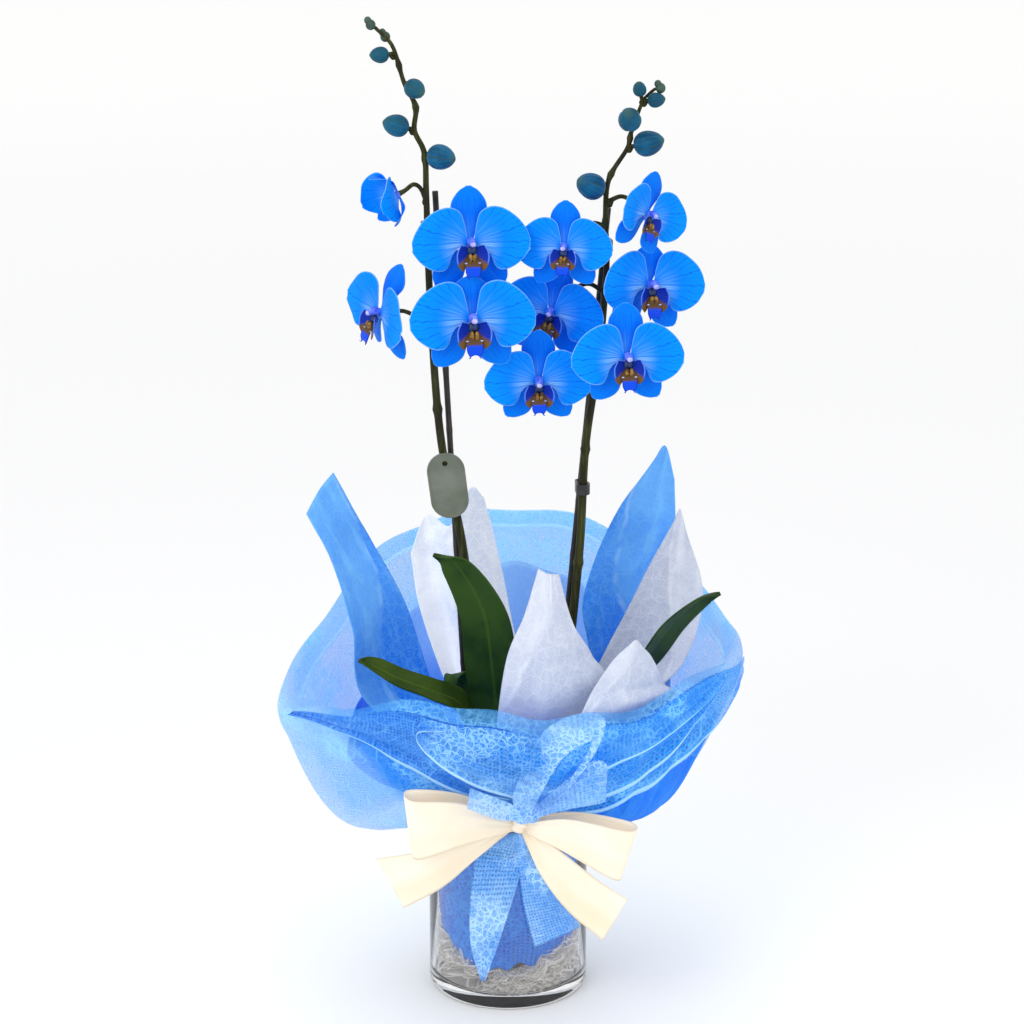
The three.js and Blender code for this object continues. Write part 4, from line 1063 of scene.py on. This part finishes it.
# Petals and sepals: outlines in the plane of the bloom, x to the right and y up
PETAL_UPPER = [(3, 4), (4.5, 14), (8, 25.5), (17, 30.5), (28, 28.5), (39, 20.5), (46, 11), (49, 3)]
PETAL_LOWER = [(3.5, -1.5), (11, -3.5), (16, -9), (18.5, -16), (23, -21), (32, -20.5), (42, -14), (48.5, -5)]
SEPAL_HALF_WIDTHS = [2.8, 4.5, 8, 12.5, 15, 14, 10, 4]
PETAL_LENGTH = 50
DORSAL_LENGTH = 47
LATERAL_LENGTH = 45
LATERAL_WIDTH = 0.87
LATERAL_FAN = 39
# Blooms: middle, size, turn, lift and spin in degrees, and where they aren't the usual ones the curl of the
# petals, how far the sepals recline, and the share of its length that the upper sepal has
BLOOMS = {
    "a": ((-26, -46, 587), 0.86, 10, 5, 0),
    "b": ((-25, -58, 535), 0.92, 10, 5, 0, 0.002, 0.003, 0.72),
    "c": ((-91, -10, 528), 0.82, -58, 4, 10, 0.004, 0.012),
    "d": ((-79, -10, 614), 0.6, -60, -20, 0, 0.036, -0.03),
    "e": ((40, -33, 581), 0.71, -8, 5, 0),
    "f": ((31, -8, 528), 0.8, -10, 2, 8),
    "g": ((22, -38, 485), 0.8, 4, -6, 0),
    "h": ((84, -60, 508), 0.83, 9, 4, 0),
    "i": ((101, -18, 550), 0.84, 24, 4, 5, 0.007, 0.003, 0.75),
    "j": ((98, -36, 605), 0.67, 40, 0, 22, 0.009),
}
HALF_OPEN = "d"


def roll(distance, curl):
    """A flat distance rolled up at curl per millimetre: how far along, how far forward."""
    return sin(distance * curl) / curl, (1 - cos(distance * curl)) / curl


def petal(side, curl, seed):
    outline = through([PETAL_LOWER, PETAL_UPPER])

    def marks(u, v):
        x, y = outline(u, v)
        return atan2(y - 1, x + 1), hypot(x - 1, y - 1) / PETAL_LENGTH

    def margin(u, v):
        width = dist(outline(u, 0), outline(u, 1))
        return min(min(v, 1 - v) * width, (1 - u) * PETAL_LENGTH) / 10

    def skin(u, v):
        x, y = outline(u, v)
        across, forward = roll(x, curl)
        edge = u * abs(2 * v - 1) ** 3
        belly = 3 * sin(pi * x / PETAL_LENGTH) - 0.05 * abs(y)
        wave = 1.3 * edge * sin(9 * atan2(y, x) + seed) + 0.8 * ripple((x, y, seed), 14, seed)
        groove = -0.9 * hump(y, 2, 3.5) * sin(pi * min(1, x / 45))
        return side * across, y, 1.8 + belly + forward + wave + groove

    return thick(grid(skin, 34, 24, (0.05, 0.05), marks, margin=margin), PETAL_THICKNESS)


def sepal(length, width, degrees, curl, seed):
    halves = [(half * width,) for half in SEPAL_HALF_WIDTHS]

    def marks(u, v):
        return (2 * u - 1) * 0.9, 0.15 + 0.75 * v

    def skin(u, v):
        tip = sqrt(max(0, 1 - ease(v, 0.9, 1) ** 2 * 0.8))
        x = spline(halves, v)[0] * (2 * u - 1) * tip
        up, forward = roll(2 + (length - 2) * v, curl)
        keel = 0.9 * hump(x, 0, 2.2) * sin(pi * v)
        wave = 0.9 * v * ripple((x, up, seed), 12, seed)
        return x, up, -2.2 + forward - 0.012 * x * x + wave - keel

    def margin(u, v):
        return min(min(u, 1 - u) * 2 * spline(halves, v)[0], (1 - v) * length) / 10

    bm = grid(skin, 16, 30, (0.03, 0.045), marks, margin=margin)
    bmesh.ops.rotate(bm, verts=bm.verts, matrix=Matrix.Rotation(radians(degrees), 3, "Z"))
    return thick(bm, PETAL_THICKNESS)


def column():
    """A rounded post above the throat with the core of the bloom behind it, and its pale cap."""
    post = tube([(0, 1.2, 1), (0, 2.4, 6), (0, 2.2, 10), (0, 1.0, 13)],
                lambda v: 3.3 + 0.5 * sin(pi * v) - 0.6 * v, 14, 16)
    cap = ball((0, 0.9, 13.2), (2.5, 2.2, 1.8), 16, 10)
    core = ball((0, 0, -1), (4.6, 4.6, 4.0), 18, 12)
    return painted(join([post, core]), 2), painted(cap, 3)


def head_matrix(at, size, turn, lift, spin):
    move = Matrix.Translation(Vector(at) * MM)
    aim = Matrix.Rotation(radians(turn), 4, "Z") @ Matrix.Rotation(radians(90 - lift), 4, "X")
    return move @ aim @ Matrix.Rotation(radians(-spin), 4, "Z") @ Matrix.Scale(size, 4)


def bloom(name, at, size, turn, lift, spin, curl=0.002, recline=0.003, dorsal=1):
    seed = ord(name)
    parts = [painted(petal(1, curl, seed), 0), painted(petal(-1, curl, seed + 3), 0)]
    for number, (length, width, degrees) in enumerate([
        (DORSAL_LENGTH * dorsal, 1, 0),
        (LATERAL_LENGTH, LATERAL_WIDTH, 180 - LATERAL_FAN),
        (LATERAL_LENGTH, LATERAL_WIDTH, 180 + LATERAL_FAN),
    ]):
        parts.append(painted(sepal(length, width, degrees, -recline, seed + 5 + 2 * number), 1))
    parts += column()
    aim = head_matrix(at, size, turn, lift, spin)
    place(moved(join(parts), aim), "flower_" + name, [PETAL, SEPAL, COLUMN, CAP], "petal", ["bloom_" + name])
    if name != HALF_OPEN:
        finishes = [LIP_EAR, LIP_TONGUE, THROAT_SHADE, CALLUS, GLINT]
        place(moved(lip(), aim), "tongue_" + name, finishes, "lip", ["lip_" + name])


def lobe(side):
    """One side lobe of the lip: a rounded, cupped ear that stands up beside the column."""
    rails = [
        [(1.0, -9.5, 6), (3.8, -14.8, 8.5), (6.4, -19.2, 10.2), (8.6, -21.2, 11.2)],
        [(2.2, -7.2, 5.6), (6.0, -11.8, 8.5), (9.8, -15.0, 10.8), (12.4, -16.2, 12.4)],
        [(2.6, -5.0, 5.4), (6.8, -6.8, 8.0), (10.8, -7.2, 10.8), (13.2, -7.2, 13.0)],
        [(2.8, -2.8, 5.2), (5.8, -1.4, 7.6), (8.6, -0.4, 10.0), (10.2, -0.4, 12.2)],
    ]
    ear = through(rails)

    def skin(u, v):
        x, y, z = ear(u, v)
        return side * x, y, z

    return painted(thick(grid(skin, 14, 18, (0.015, 0.02), lambda u, v: (v, u)), LIP_THICKNESS), 0)


def lip():
    """Lip: two ears, a forked tongue with tendrils, and the golden callus between them."""
    middle = [(0, -8.8, 7), (0, -13.5, 10.4), (0, -18, 12.6), (0, -22.5, 13.4), (0, -25.2, 13)]
    right = [(2.4, -8.5, 8), (6.0, -13, 10.4), (6.4, -18, 12.4), (6.2, -22.5, 13.4), (4.2, -26.6, 13)]
    left = [(-x, y, z) for x, y, z in right]
    tongue = grid(through([left, middle, right]), 16, 12, (0.02, 0.01), lambda u, v: (u, abs(2 * v - 1)))
    tongue = painted(thick(tongue, LIP_THICKNESS), 1)
    tendrils = [
        painted(tube([(s * 3.4, -26, 13), (s * 4, -27.4, 13.6), (s * 5.2, -27, 14.6)],
                     lambda v: 0.55 * (1 - 0.6 * v), 8, 8), 1)
        for s in (-1, 1)
    ]
    bumps = [painted(ball((s * 1.9, -10.5, 10.2), (2.0, 3.6, 2.4), 12, 8), 3) for s in (-1, 1)]
    glints = [painted(ball((s * 5.6, -14.6, 11.2), (1.3, 0.6, 0.6), 10, 6), 4) for s in (-1, 1)]
    # The root of the lip carries the nearly black painted shade of the gap below the column.
    root = painted(ball((0, -5.2, 5.8), (4.6, 4.4, 2.8), 14, 10), 2)
    return join([lobe(1), lobe(-1), tongue, *tendrils, *bumps, *glints, root])


# Flower spikes: main stem, stalks to the blooms, tips
SPIKES = {
    "left": {
        "stem": [
            (-20, 12, 100.3), (-20, 12, 119), (-20, 12.5, 160), (-21, 14, 222), (-33, 12, 341), (-49, 8, 429),
            (-56, 5, 534), (-58, 3, 610), (-59, 2, 641), (-66, 2, 658), (-65, 2, 675), (-73, 2, 692),
            (-81, 2, 718), (-93, 2, 731),
        ],
        "stalks": {
            "a": [(-57, 5, 572), (-51, -6, 584), (-38, -20, 590)],
            "b": [(-55, 6, 520), (-47, -8, 530), (-34, -28, 536)],
            "c": [(-55, 6, 508), (-62, 6, 518), (-74, 3, 526)],
            "d": [(-58, 4, 606), (-62, 3, 616), (-67, -2, 620)],
        },
        "tips": [[(-93, 2, 731), (-96, 1, 733)], [(-81, 2, 718), (-86, 5, 724)]],
        "nodes": [0.44, 0.55, 0.66, 0.76, 0.84, 0.90, 0.95],
    },
    "right": {
        "stem": [
            (22, 6, 100.3), (22, 6, 119), (25, 7, 150), (33, 10, 190), (43, 12, 239), (53, 8, 343),
            (57, 7, 423), (66, 6, 490), (71, 5, 556), (70, 4, 594), (72, 4, 622), (85, 4, 645),
            (88, 4, 658), (96, 4, 680),
        ],
        "stalks": {
            "e": [(71, 4, 588), (60, -2, 592), (48, -12, 587)],
            "f": [(71, 5, 538), (58, 9, 545), (42, 7, 538)],
            "g": [(66, 6, 490), (54, 2, 480), (36, -12, 479)],
            "h": [(66, 6, 488), (76, -18, 492), (83, -38, 502)],
            "i": [(71, 5, 554), (82, 1, 557), (90, -8, 556)],
            "j": [(71, 4, 606), (81, 0, 611), (89, -12, 609)],
        },
        "tips": [[(96, 4, 680), (104, 5, 687), (108, 3, 688)]],
        "nodes": [0.40, 0.55, 0.66, 0.75, 0.84, 0.90, 0.95],
    },
}
SPIKE_RADII = [(3.5,), (3.5,), (3.2,), (2.8,), (2.2,), (1.3,)]
CORE_RADIUS = 5.1


def pedicel_end(at, size, turn, lift):
    """The last two points of a bloom's stalk, straight behind it."""
    aim = Matrix.Rotation(radians(turn), 3, "Z") @ Matrix.Rotation(radians(-lift), 3, "X")
    back = aim @ Vector((0, 1, 0))
    reach = CORE_RADIUS * size - 1.5
    return [tuple(Vector(at) + back * distance) for distance in (reach + 6, reach)]


# Buds up each spike: the point on the stem that each hangs from, its middle and its half width
BUDS = {
    "left": [
        ((-59, 2, 641), (-47, -4, 640), 9),
        ((-66, 2, 658), (-79, 0, 662), 8),
        ((-73, 2, 692), (-65, -7, 689), 7),
        ((-79, 2, 712), (-90, 0, 712), 5.8),
    ],
    "right": [
        ((71.5, 4, 612), (59, -2, 619), 9.4),
        ((85, 4, 645), (100, 2, 649), 9.2),
        ((88, 4, 658), (86, -8, 668), 8.2),
        ((95, 4, 678), (93, 0, 688), 4.8),
        ((95, 4, 678), (105, 1, 680), 5.4),
    ],
}
BUD_LENGTH = 1.18


def bud_mesh(start, middle, radius):
    def skin(u, v):
        angle = tau * u
        turn = pi * (v - 0.5)
        y = sin(turn)
        seam = abs(sin(1.5 * angle))
        full = radius * cos(turn) * (1 - 0.14 * y) * (1 - 0.1 * (1 - seam) ** 6)
        beak = 1 + 0.06 * ease(v, 0.85, 1)
        return full * cos(angle), y * radius * BUD_LENGTH * beak, full * sin(angle)

    bm = grid(skin, 36, 24, (0.05, 0.03), closed=True)
    bmesh.ops.recalc_face_normals(bm, faces=bm.faces)
    along = Vector(middle) - Vector(start)
    aim = Vector((0, 1, 0)).rotation_difference(along).to_matrix().to_4x4()
    return moved(bm, Matrix.Translation(Vector(middle) * MM) @ aim)


def buds():
    for side, places in BUDS.items():
        for number, spec in enumerate(places, 1):
            place(bud_mesh(*spec), f"bud_of_{side}_{number}", BUD, "bud", [f"bud_{side}_{number}"])


def spike(side, stem, stalks, tips, nodes):
    def girth(v):
        knots = sum(hump(v, at, 0.0045) for at in nodes)
        return spline(SPIKE_RADII, v)[0] + 0.9 * knots

    def stalk_girth(v):
        return PEDICEL_RADIUS * (1 + 0.5 * exp(-20 * v) + 0.35 * ease(v, 0.8, 1))

    parts = [tube(stem, girth, 260, 16)]
    for name, path in stalks.items():
        parts.append(tube([*path, *pedicel_end(*BLOOMS[name][:4])], stalk_girth, 24, 10))
        parts.append(bract(path[0], path[1], 3.2))
    for start, middle, radius in BUDS[side]:
        end = Vector(start).lerp(Vector(middle), 1 - radius * 1.1 / (Vector(middle) - Vector(start)).length)
        half = Vector(start).lerp(end, 0.5) + Vector((0, 0, 0.8))
        parts.append(tube([start, tuple(half), tuple(end)], lambda v: 1.2 + 0.3 * v, 8, 10))
        parts.append(bract(start, middle, 2.6))
    for path in tips:
        parts.append(tube(path, lambda v: 1.2, 6, 8))
        x, y, z = path[-1]
        parts.append(painted(ball((x, y, z), (3.6, 3.2, 3.8), 14, 10), 1))
        parts.append(painted(ball((x - 2, y - 0.5, z + 3.2), (2.6, 2.3, 2.8), 12, 8), 1))
    place(join(parts), f"spike_{side}", [STEM, TIP], "spike_stem", [f"flower_spike_{side}"])


def bract(start, towards, size):
    """The small pointed scale at the foot of a stalk."""
    along = (Vector(towards) - Vector(start)).normalized()
    side = along.cross(Vector((0, 1, 0))).normalized()
    low = Vector(start) - Vector((0, 0, size))
    tip = Vector(start) + along * size * 1.7 - Vector((0, 0, size * 0.4))
    middle = low.lerp(tip, 0.5) + Vector((0, -1, 0)) * size * 0.25
    rails = [
        [tuple(low - side * size * 0.3), tuple(middle - side * size * 0.65), tuple(tip)],
        [tuple(low + Vector((0, -0.4, 0))), tuple(middle + Vector((0, -1.2, 0))), tuple(tip)],
        [tuple(low + side * size * 0.3), tuple(middle + side * size * 0.65), tuple(tip)],
    ]
    return thick(grid(through(rails), 6, 6), 0.5)


# Leaves: finish, slot, the direction across, half widths along the spine, and the spine
LEAVES = {
    "leaf_centre": (LEAF, "leaf", (1, -0.25, 0), [6, 13, 19, 20, 18, 12, 3], [
        (1, -3.8, 134), (-3, -14, 180), (-8, -20, 225), (-12, -32, 271), (-18, -38, 312), (-37, -45, 350),
        (-53, -50, 360),
    ]),
    "leaf_left": (OLIVE_LEAF, "olive_leaf", (0.35, 0.9, 0.35), [3.5, 6.5, 10, 9.5, 9, 7, 2], [
        (-9.9, -2.6, 136), (-19, -13, 185), (-34, -26, 232), (-57, -40, 250), (-79, -46, 261),
        (-97, -50, 272), (-109, -52, 277),
    ]),
    "leaf_right": (LEAF, "leaf", (0.5, 0.75, -0.35), [3.5, 7, 12, 15.5, 16, 11, 3], [
        (7.5, 1, 136), (26, -10, 185), (66, -22, 236), (100, -29, 270), (120, -34, 300), (140, -38, 321),
        (154, -40, 327),
    ]),
    "leaf_short": (LEAF, "leaf", (0.85, -0.3, 0.3), [2.5, 7, 12, 12.5, 9.5, 3], [
        (-9.5, 5, 136), (-17, 1, 180), (-25, -3, 222), (-34, -6, 246), (-41, -9, 251), (-47, -12, 245),
    ]),
}
LEAF_CHANNEL = 3


def leaf(name, finish, slot, across, halves, spine):
    widths = [(half,) for half in halves]

    def skin(u, v):
        middle = Vector(spline(spine, v))
        before, after = [Vector(spline(spine, min(1, max(0, v + step)))) for step in (-0.01, 0.01)]
        along = (after - before).normalized()
        side = Vector(across)
        side = (side - along * side.dot(along)).normalized()
        normal = side.cross(along)
        share = 2 * u - 1
        tip = sqrt(max(0.02, 1 - ease(v, 0.93, 1)))
        width = spline(widths, v)[0] * tip
        channel = LEAF_CHANNEL * abs(share) ** 1.5 + 0.4 * sin(14 * v + 2) * abs(share)
        return middle + side * width * share + normal * channel

    bm = thick(grid(skin, 24, 72, (0.04, 0.25)), LEAF_THICKNESS)
    place(bm, name.replace("leaf", "blade"), finish, slot, [name])


def crown():
    body = tube([(0, 5, 101), (0, 5, 112), (0, 5, 125), (0, 5, 138), (0, 5, 150)],
                lambda v: 8.8 - 2.8 * ease(v, 0.5, 1) + 0.5 * sin(22 * v), 30, 24)
    place(body, "crown", CROWN, "plant_crown", ["plant_crown"])


# Canes, and the tag with its peg hole
CANES = {"left": [(-26, 24, 100.3), (-52, 13, 612)], "right": [(27.5, 20, 100.3), (72, 12, 600)]}
TAG_AT = (-44, 5, 394)
TAG_TURN = -7
TAG_HALF_WIDTH = 14
TAG_HALF_STRAIGHT = 11
TAG_THICKNESS = 1.4
TAG_RIM = 1.5
TAG_HOLE = (17, 2)


def canes():
    for side, path in CANES.items():
        rough = tube(path, lambda v: CANE_RADIUS + 0.25 * max(0, sin(70 * v)) ** 12, 120, 14)
        place(rough, f"cane_{side}", CANE, "cane_plastic", [f"support_cane_{side}"])


def tag():
    """A thin plate with round ends, a raised rim and a peg hole."""
    def ring(bm, spots):
        loop = [bm.verts.new((x * MM, y * MM, 0)) for x, y in spots]
        return [bm.edges.new(pair) for pair in zip(loop, loop[1:] + loop[:1])]

    def capsule(bm, radius):
        spots = arc(0, 0, radius, 0, 360, 64)[:-1]
        return ring(bm, [(x, y + copysign(TAG_HALF_STRAIGHT, y)) for x, y in spots])

    bm = bmesh.new()
    edges = capsule(bm, TAG_HALF_WIDTH - TAG_RIM)
    edges += ring(bm, arc(0, *TAG_HOLE, 0, 345, 23))
    bmesh.ops.triangle_fill(bm, edges=edges, use_beauty=True)
    plate = thick(bm, TAG_THICKNESS)
    rim = bmesh.new()
    outer = capsule(rim, TAG_HALF_WIDTH)
    inner = capsule(rim, TAG_HALF_WIDTH - TAG_RIM)
    bmesh.ops.bridge_loops(rim, edges=outer + inner)
    rim = thick(rim, TAG_THICKNESS + 0.8)
    bmesh.ops.bevel(
        rim, geom=rim.edges[:], offset=0.25 * MM, affect="EDGES", segments=2, profile=0.5, material=-1,
        clamp_overlap=True
    )
    whole = join([plate, rim])
    aim = Matrix.Rotation(radians(TAG_TURN), 4, "Y") @ Matrix.Rotation(pi / 2, 4, "X")
    whole = moved(whole, Matrix.Translation(Vector(TAG_AT) * MM) @ aim)
    place(whole, "tag", TAG, "tag_plastic", ["plant_tag"], smooth=False)


# Satin ribbon
BAND_RADIUS = 48
BAND_BOTTOM = 149.6
BAND_WIDTH = 12.8
KNOT = ((8, -61.5, 156), (10, 12, 8.5))
# Two edges each of the left and right loops and of the left and right tails
RIBBON_STRIPS = [
    [
        [(4, -71, 159), (-32, -98, 185), (-69, -110, 192), (-71, -101, 197), (-33, -88, 188), (3, -64, 160)],
        [(4, -71, 152), (-28, -92, 151), (-64, -108, 145), (-66, -99, 150), (-30, -82, 158), (3, -64, 154)],
    ],
    [
        [(12, -71, 158), (44, -89, 169), (87, -105, 166), (90, -95, 169), (48, -80, 171), (14, -64, 159)],
        [(12, -71, 151), (40, -85, 142), (77, -103, 127), (79, -94, 131), (43, -77, 148), (14, -64, 153)],
    ],
    [
        [(4, -66, 155), (-34, -82, 148), (-66, -90, 143), (-96, -92, 139)],
        [(2, -66, 150), (-24, -76, 131), (-48, -83, 112), (-76, -91, 99)],
    ],
    [
        [(12, -66, 155), (38, -77, 139), (68, -87, 118), (88, -91, 106)],
        [(10, -66, 149), (24, -73, 118), (44, -80, 92), (70, -89, 72)],
    ],
]


def ribbon_strip(rails, steps=44, across=14, wave=1.6):
    """A ribbon between two edge rails, with soft lengthwise folds near the knot."""
    surface = through(rails)

    def skin(u, v):
        spot = surface(u, v)
        near = max(exp(-5 * u), exp(-5 * (1 - u)) if len(rails[0]) > 4 else 0)
        fold = 1.4 * near * cos(3 * tau * v)
        fold += wave * 0.5 * sin(pi * v) * ripple(spot, 40, 2)
        return spot[0], spot[1] - fold, spot[2]

    return thick(grid(skin, steps, across, (0.12, 0.046)), NET_THICKNESS)


def knot_mesh(middle, radii, pleats, turn):
    """A tied knot: a rounded lump with pleats that run over it."""
    bm = ball((0, 0, 0), (1000, 1000, 1000), 40, 28)
    flat = bm.loops.layers.uv.new("Flat")
    own = bm.loops.layers.uv.new("Marks")
    for face in bm.faces:
        for loop in face.loops:
            loop[flat].uv = (loop.vert.co.x * 0.01, loop.vert.co.z * 0.01)
            loop[own].uv = (0.5, 0.5)
    for vert in bm.verts:
        x, y, z = vert.co
        across = x * cos(turn) + z * sin(turn)
        lump = 1 + 0.07 * sin(pleats * across + 1.2 * y) * (1 - abs(across) ** 3)
        vert.co = Vector((x * radii[0], y * radii[1], z * radii[2])) * lump * MM + Vector(middle) * MM
    return bm


def ribbon():
    def wrap(u, v):
        crease = 0.35 * sin(9 * pi * v + 3 * sin(4 * pi * u))
        return polar(BAND_RADIUS + crease, 360 * u, BAND_BOTTOM + BAND_WIDTH * v)

    bm = thick(grid(wrap, 160, 16, (0.30, 0.046), closed=True), NET_THICKNESS)
    band = place(bm, "band", SATIN, "cream_satin", ["ribbon_band"])
    parts = [ribbon_strip(rails) for rails in RIBBON_STRIPS]
    parts.append(knot_mesh(*KNOT, 7, 0.9))
    bow = place(join(parts), "bow", SATIN, "cream_satin", ["ribbon_bow"])


# Pale net bow and tails
NET_KNOT = ((13, -76.6, 167.6), (11.5, 8, 7.5))
NET_TAIL_KNOT = ((9, -63.5, 143), (6.6, 2.4, 3.4))
NET_BOW_STRIPS = [
    [
        [(10, -78, 170), (4, -100, 193), (24, -126, 250), (52, -137, 270), (69, -133, 263), (60, -124, 231),
         (38, -104, 194), (14, -76, 172)],
        [(16, -80, 166), (22, -102, 190), (38, -121, 228), (54, -128, 243), (60, -126, 243), (50, -117, 220),
         (32, -98, 186), (16, -76, 168)],
    ],
    [
        [(16, -82, 172), (40, -104, 204), (62, -117, 226), (71, -111, 216), (48, -94, 188), (18, -78, 172)],
        [(18, -82, 166), (42, -100, 181), (66, -111, 190), (69, -105, 190), (46, -92, 178), (20, -78, 168)],
    ],
    [
        [(12, -82, 174), (-6, -97, 188), (-27, -112, 203)],
        [(12, -84, 166), (-6, -98, 172), (-29, -113, 187)],
    ],
]
NET_TAILS = [
    [
        [(2, -62.5, 146), (-20, -66, 138), (-27, -66, 104), (-28, -66, 60), (-20, -67, 29)],
        [(11, -62.5, 146), (13, -66, 132), (7, -67, 106), (-6, -67, 62), (-17, -67, 29)],
    ],
    [
        [(6, -63.5, 146), (8, -68.5, 124), (12, -69, 90), (20, -69, 57)],
        [(14, -63.5, 146), (32, -69, 124), (44, -70, 96), (54, -70, 74)],
    ],
]


def pale_net():
    parts = [ribbon_strip(rails, 48, 14, 2.4) for rails in NET_BOW_STRIPS]
    parts.append(knot_mesh(*NET_KNOT, 6, 0.4))
    bow = place(join(parts), "sheer_bow", PALE_NET, "pale_net", ["net_bow"])
    parts = [ribbon_strip(rails, 48, 18, 3.0) for rails in NET_TAILS]
    parts.append(knot_mesh(*NET_TAIL_KNOT, 5, 0.2))
    tails = place(join(parts), "sheer_tails", PALE_NET, "pale_net", ["net_tails"])


# The whole arrangement
vase()
pot()
bark()
shreds()
sleeve()
net_bowl()
collar()
for sheet_name, sheet_spec in SHEETS.items():
    standing_sheet(sheet_name, *sheet_spec)
crown()
for leaf_name, leaf_spec in LEAVES.items():
    leaf(leaf_name, *leaf_spec)
for spike_side, spike_spec in SPIKES.items():
    spike(spike_side, **spike_spec)
canes()
tag()
for bloom_name, bloom_spec in BLOOMS.items():
    bloom(bloom_name, *bloom_spec)
buds()
ribbon()
pale_net()
for clip_name in ("clip_left", "clip_right_low", "clip_right_high"):
    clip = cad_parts[clip_name]
    clip.data.materials.clear()
    clip.data.materials.append(CLIP)


# Floor, light and camera
# Lamps: name, where it stands, size and power
LAMPS = [
    ("key", (-1.2, -1.8, 1.9), 1.2, 16),
    ("fill", (1.6, -1.4, 1.2), 1.4, 3),
    ("top", (0.1, 0.5, 2.2), 1.5, 4),
]
LAMP_AIM = (0, 0, 0.35)
FLOOR_HALF = 6


def studio():
    bm = bmesh.new()
    bmesh.ops.create_grid(bm, x_segments=1, y_segments=1, size=FLOOR_HALF)
    # The floor colour carries painted light: lighter close to the vase, which takes out most of its shadow,
    # darker a little way out, and lighter again far off where the lamps' light falls away.
    finish = Finish("floor with painted light", 0.6, Specular_IOR_Level=0.1)
    away = node(finish.tree, "ShaderNodeVectorMath", {0: finish.coords}, output="Value", operation="LENGTH")
    tone = away.between(0.12, 0.7).mix((0.98, 0.98, 0.98), (0.868, 0.87, 0.878))
    fill(finish.shader, {"Base Color": away.between(1.0, 4.5).mix(tone, (0.985, 0.985, 0.98))})
    shape(bm, "floor", finish.material)

    world = bpy.data.worlds.new("studio")
    bpy.context.scene.world = world
    world.use_nodes = True
    sky = world.node_tree.nodes["Background"]
    sky.inputs["Color"].default_value = (1.0, 1.0, 1.0, 1)
    sky.inputs["Strength"].default_value = 1.0
    for name, spot, size, power in LAMPS:
        light = bpy.data.lights.new(name, "AREA")
        light.size = size
        light.energy = power
        lamp = added(name, light)
        lamp.location = spot
        lamp.rotation_euler = (Vector(LAMP_AIM) - Vector(spot)).to_track_quat("-Z", "Y").to_euler()
    bpy.context.scene.view_settings.view_transform = "Standard"


CAMERA_PLACE = (0.0031, -2.2, 1.073)
CAMERA_PITCH = 72.4
CAMERA_LENS = 110.4


def camera():
    data = bpy.data.cameras.new("camera")
    data.sensor_width = 36
    data.lens = CAMERA_LENS
    eye = added("camera", data)
    eye.location = CAMERA_PLACE
    eye.rotation_euler = (radians(CAMERA_PITCH), 0, 0)
    bpy.context.scene.camera = eye


studio()
camera()
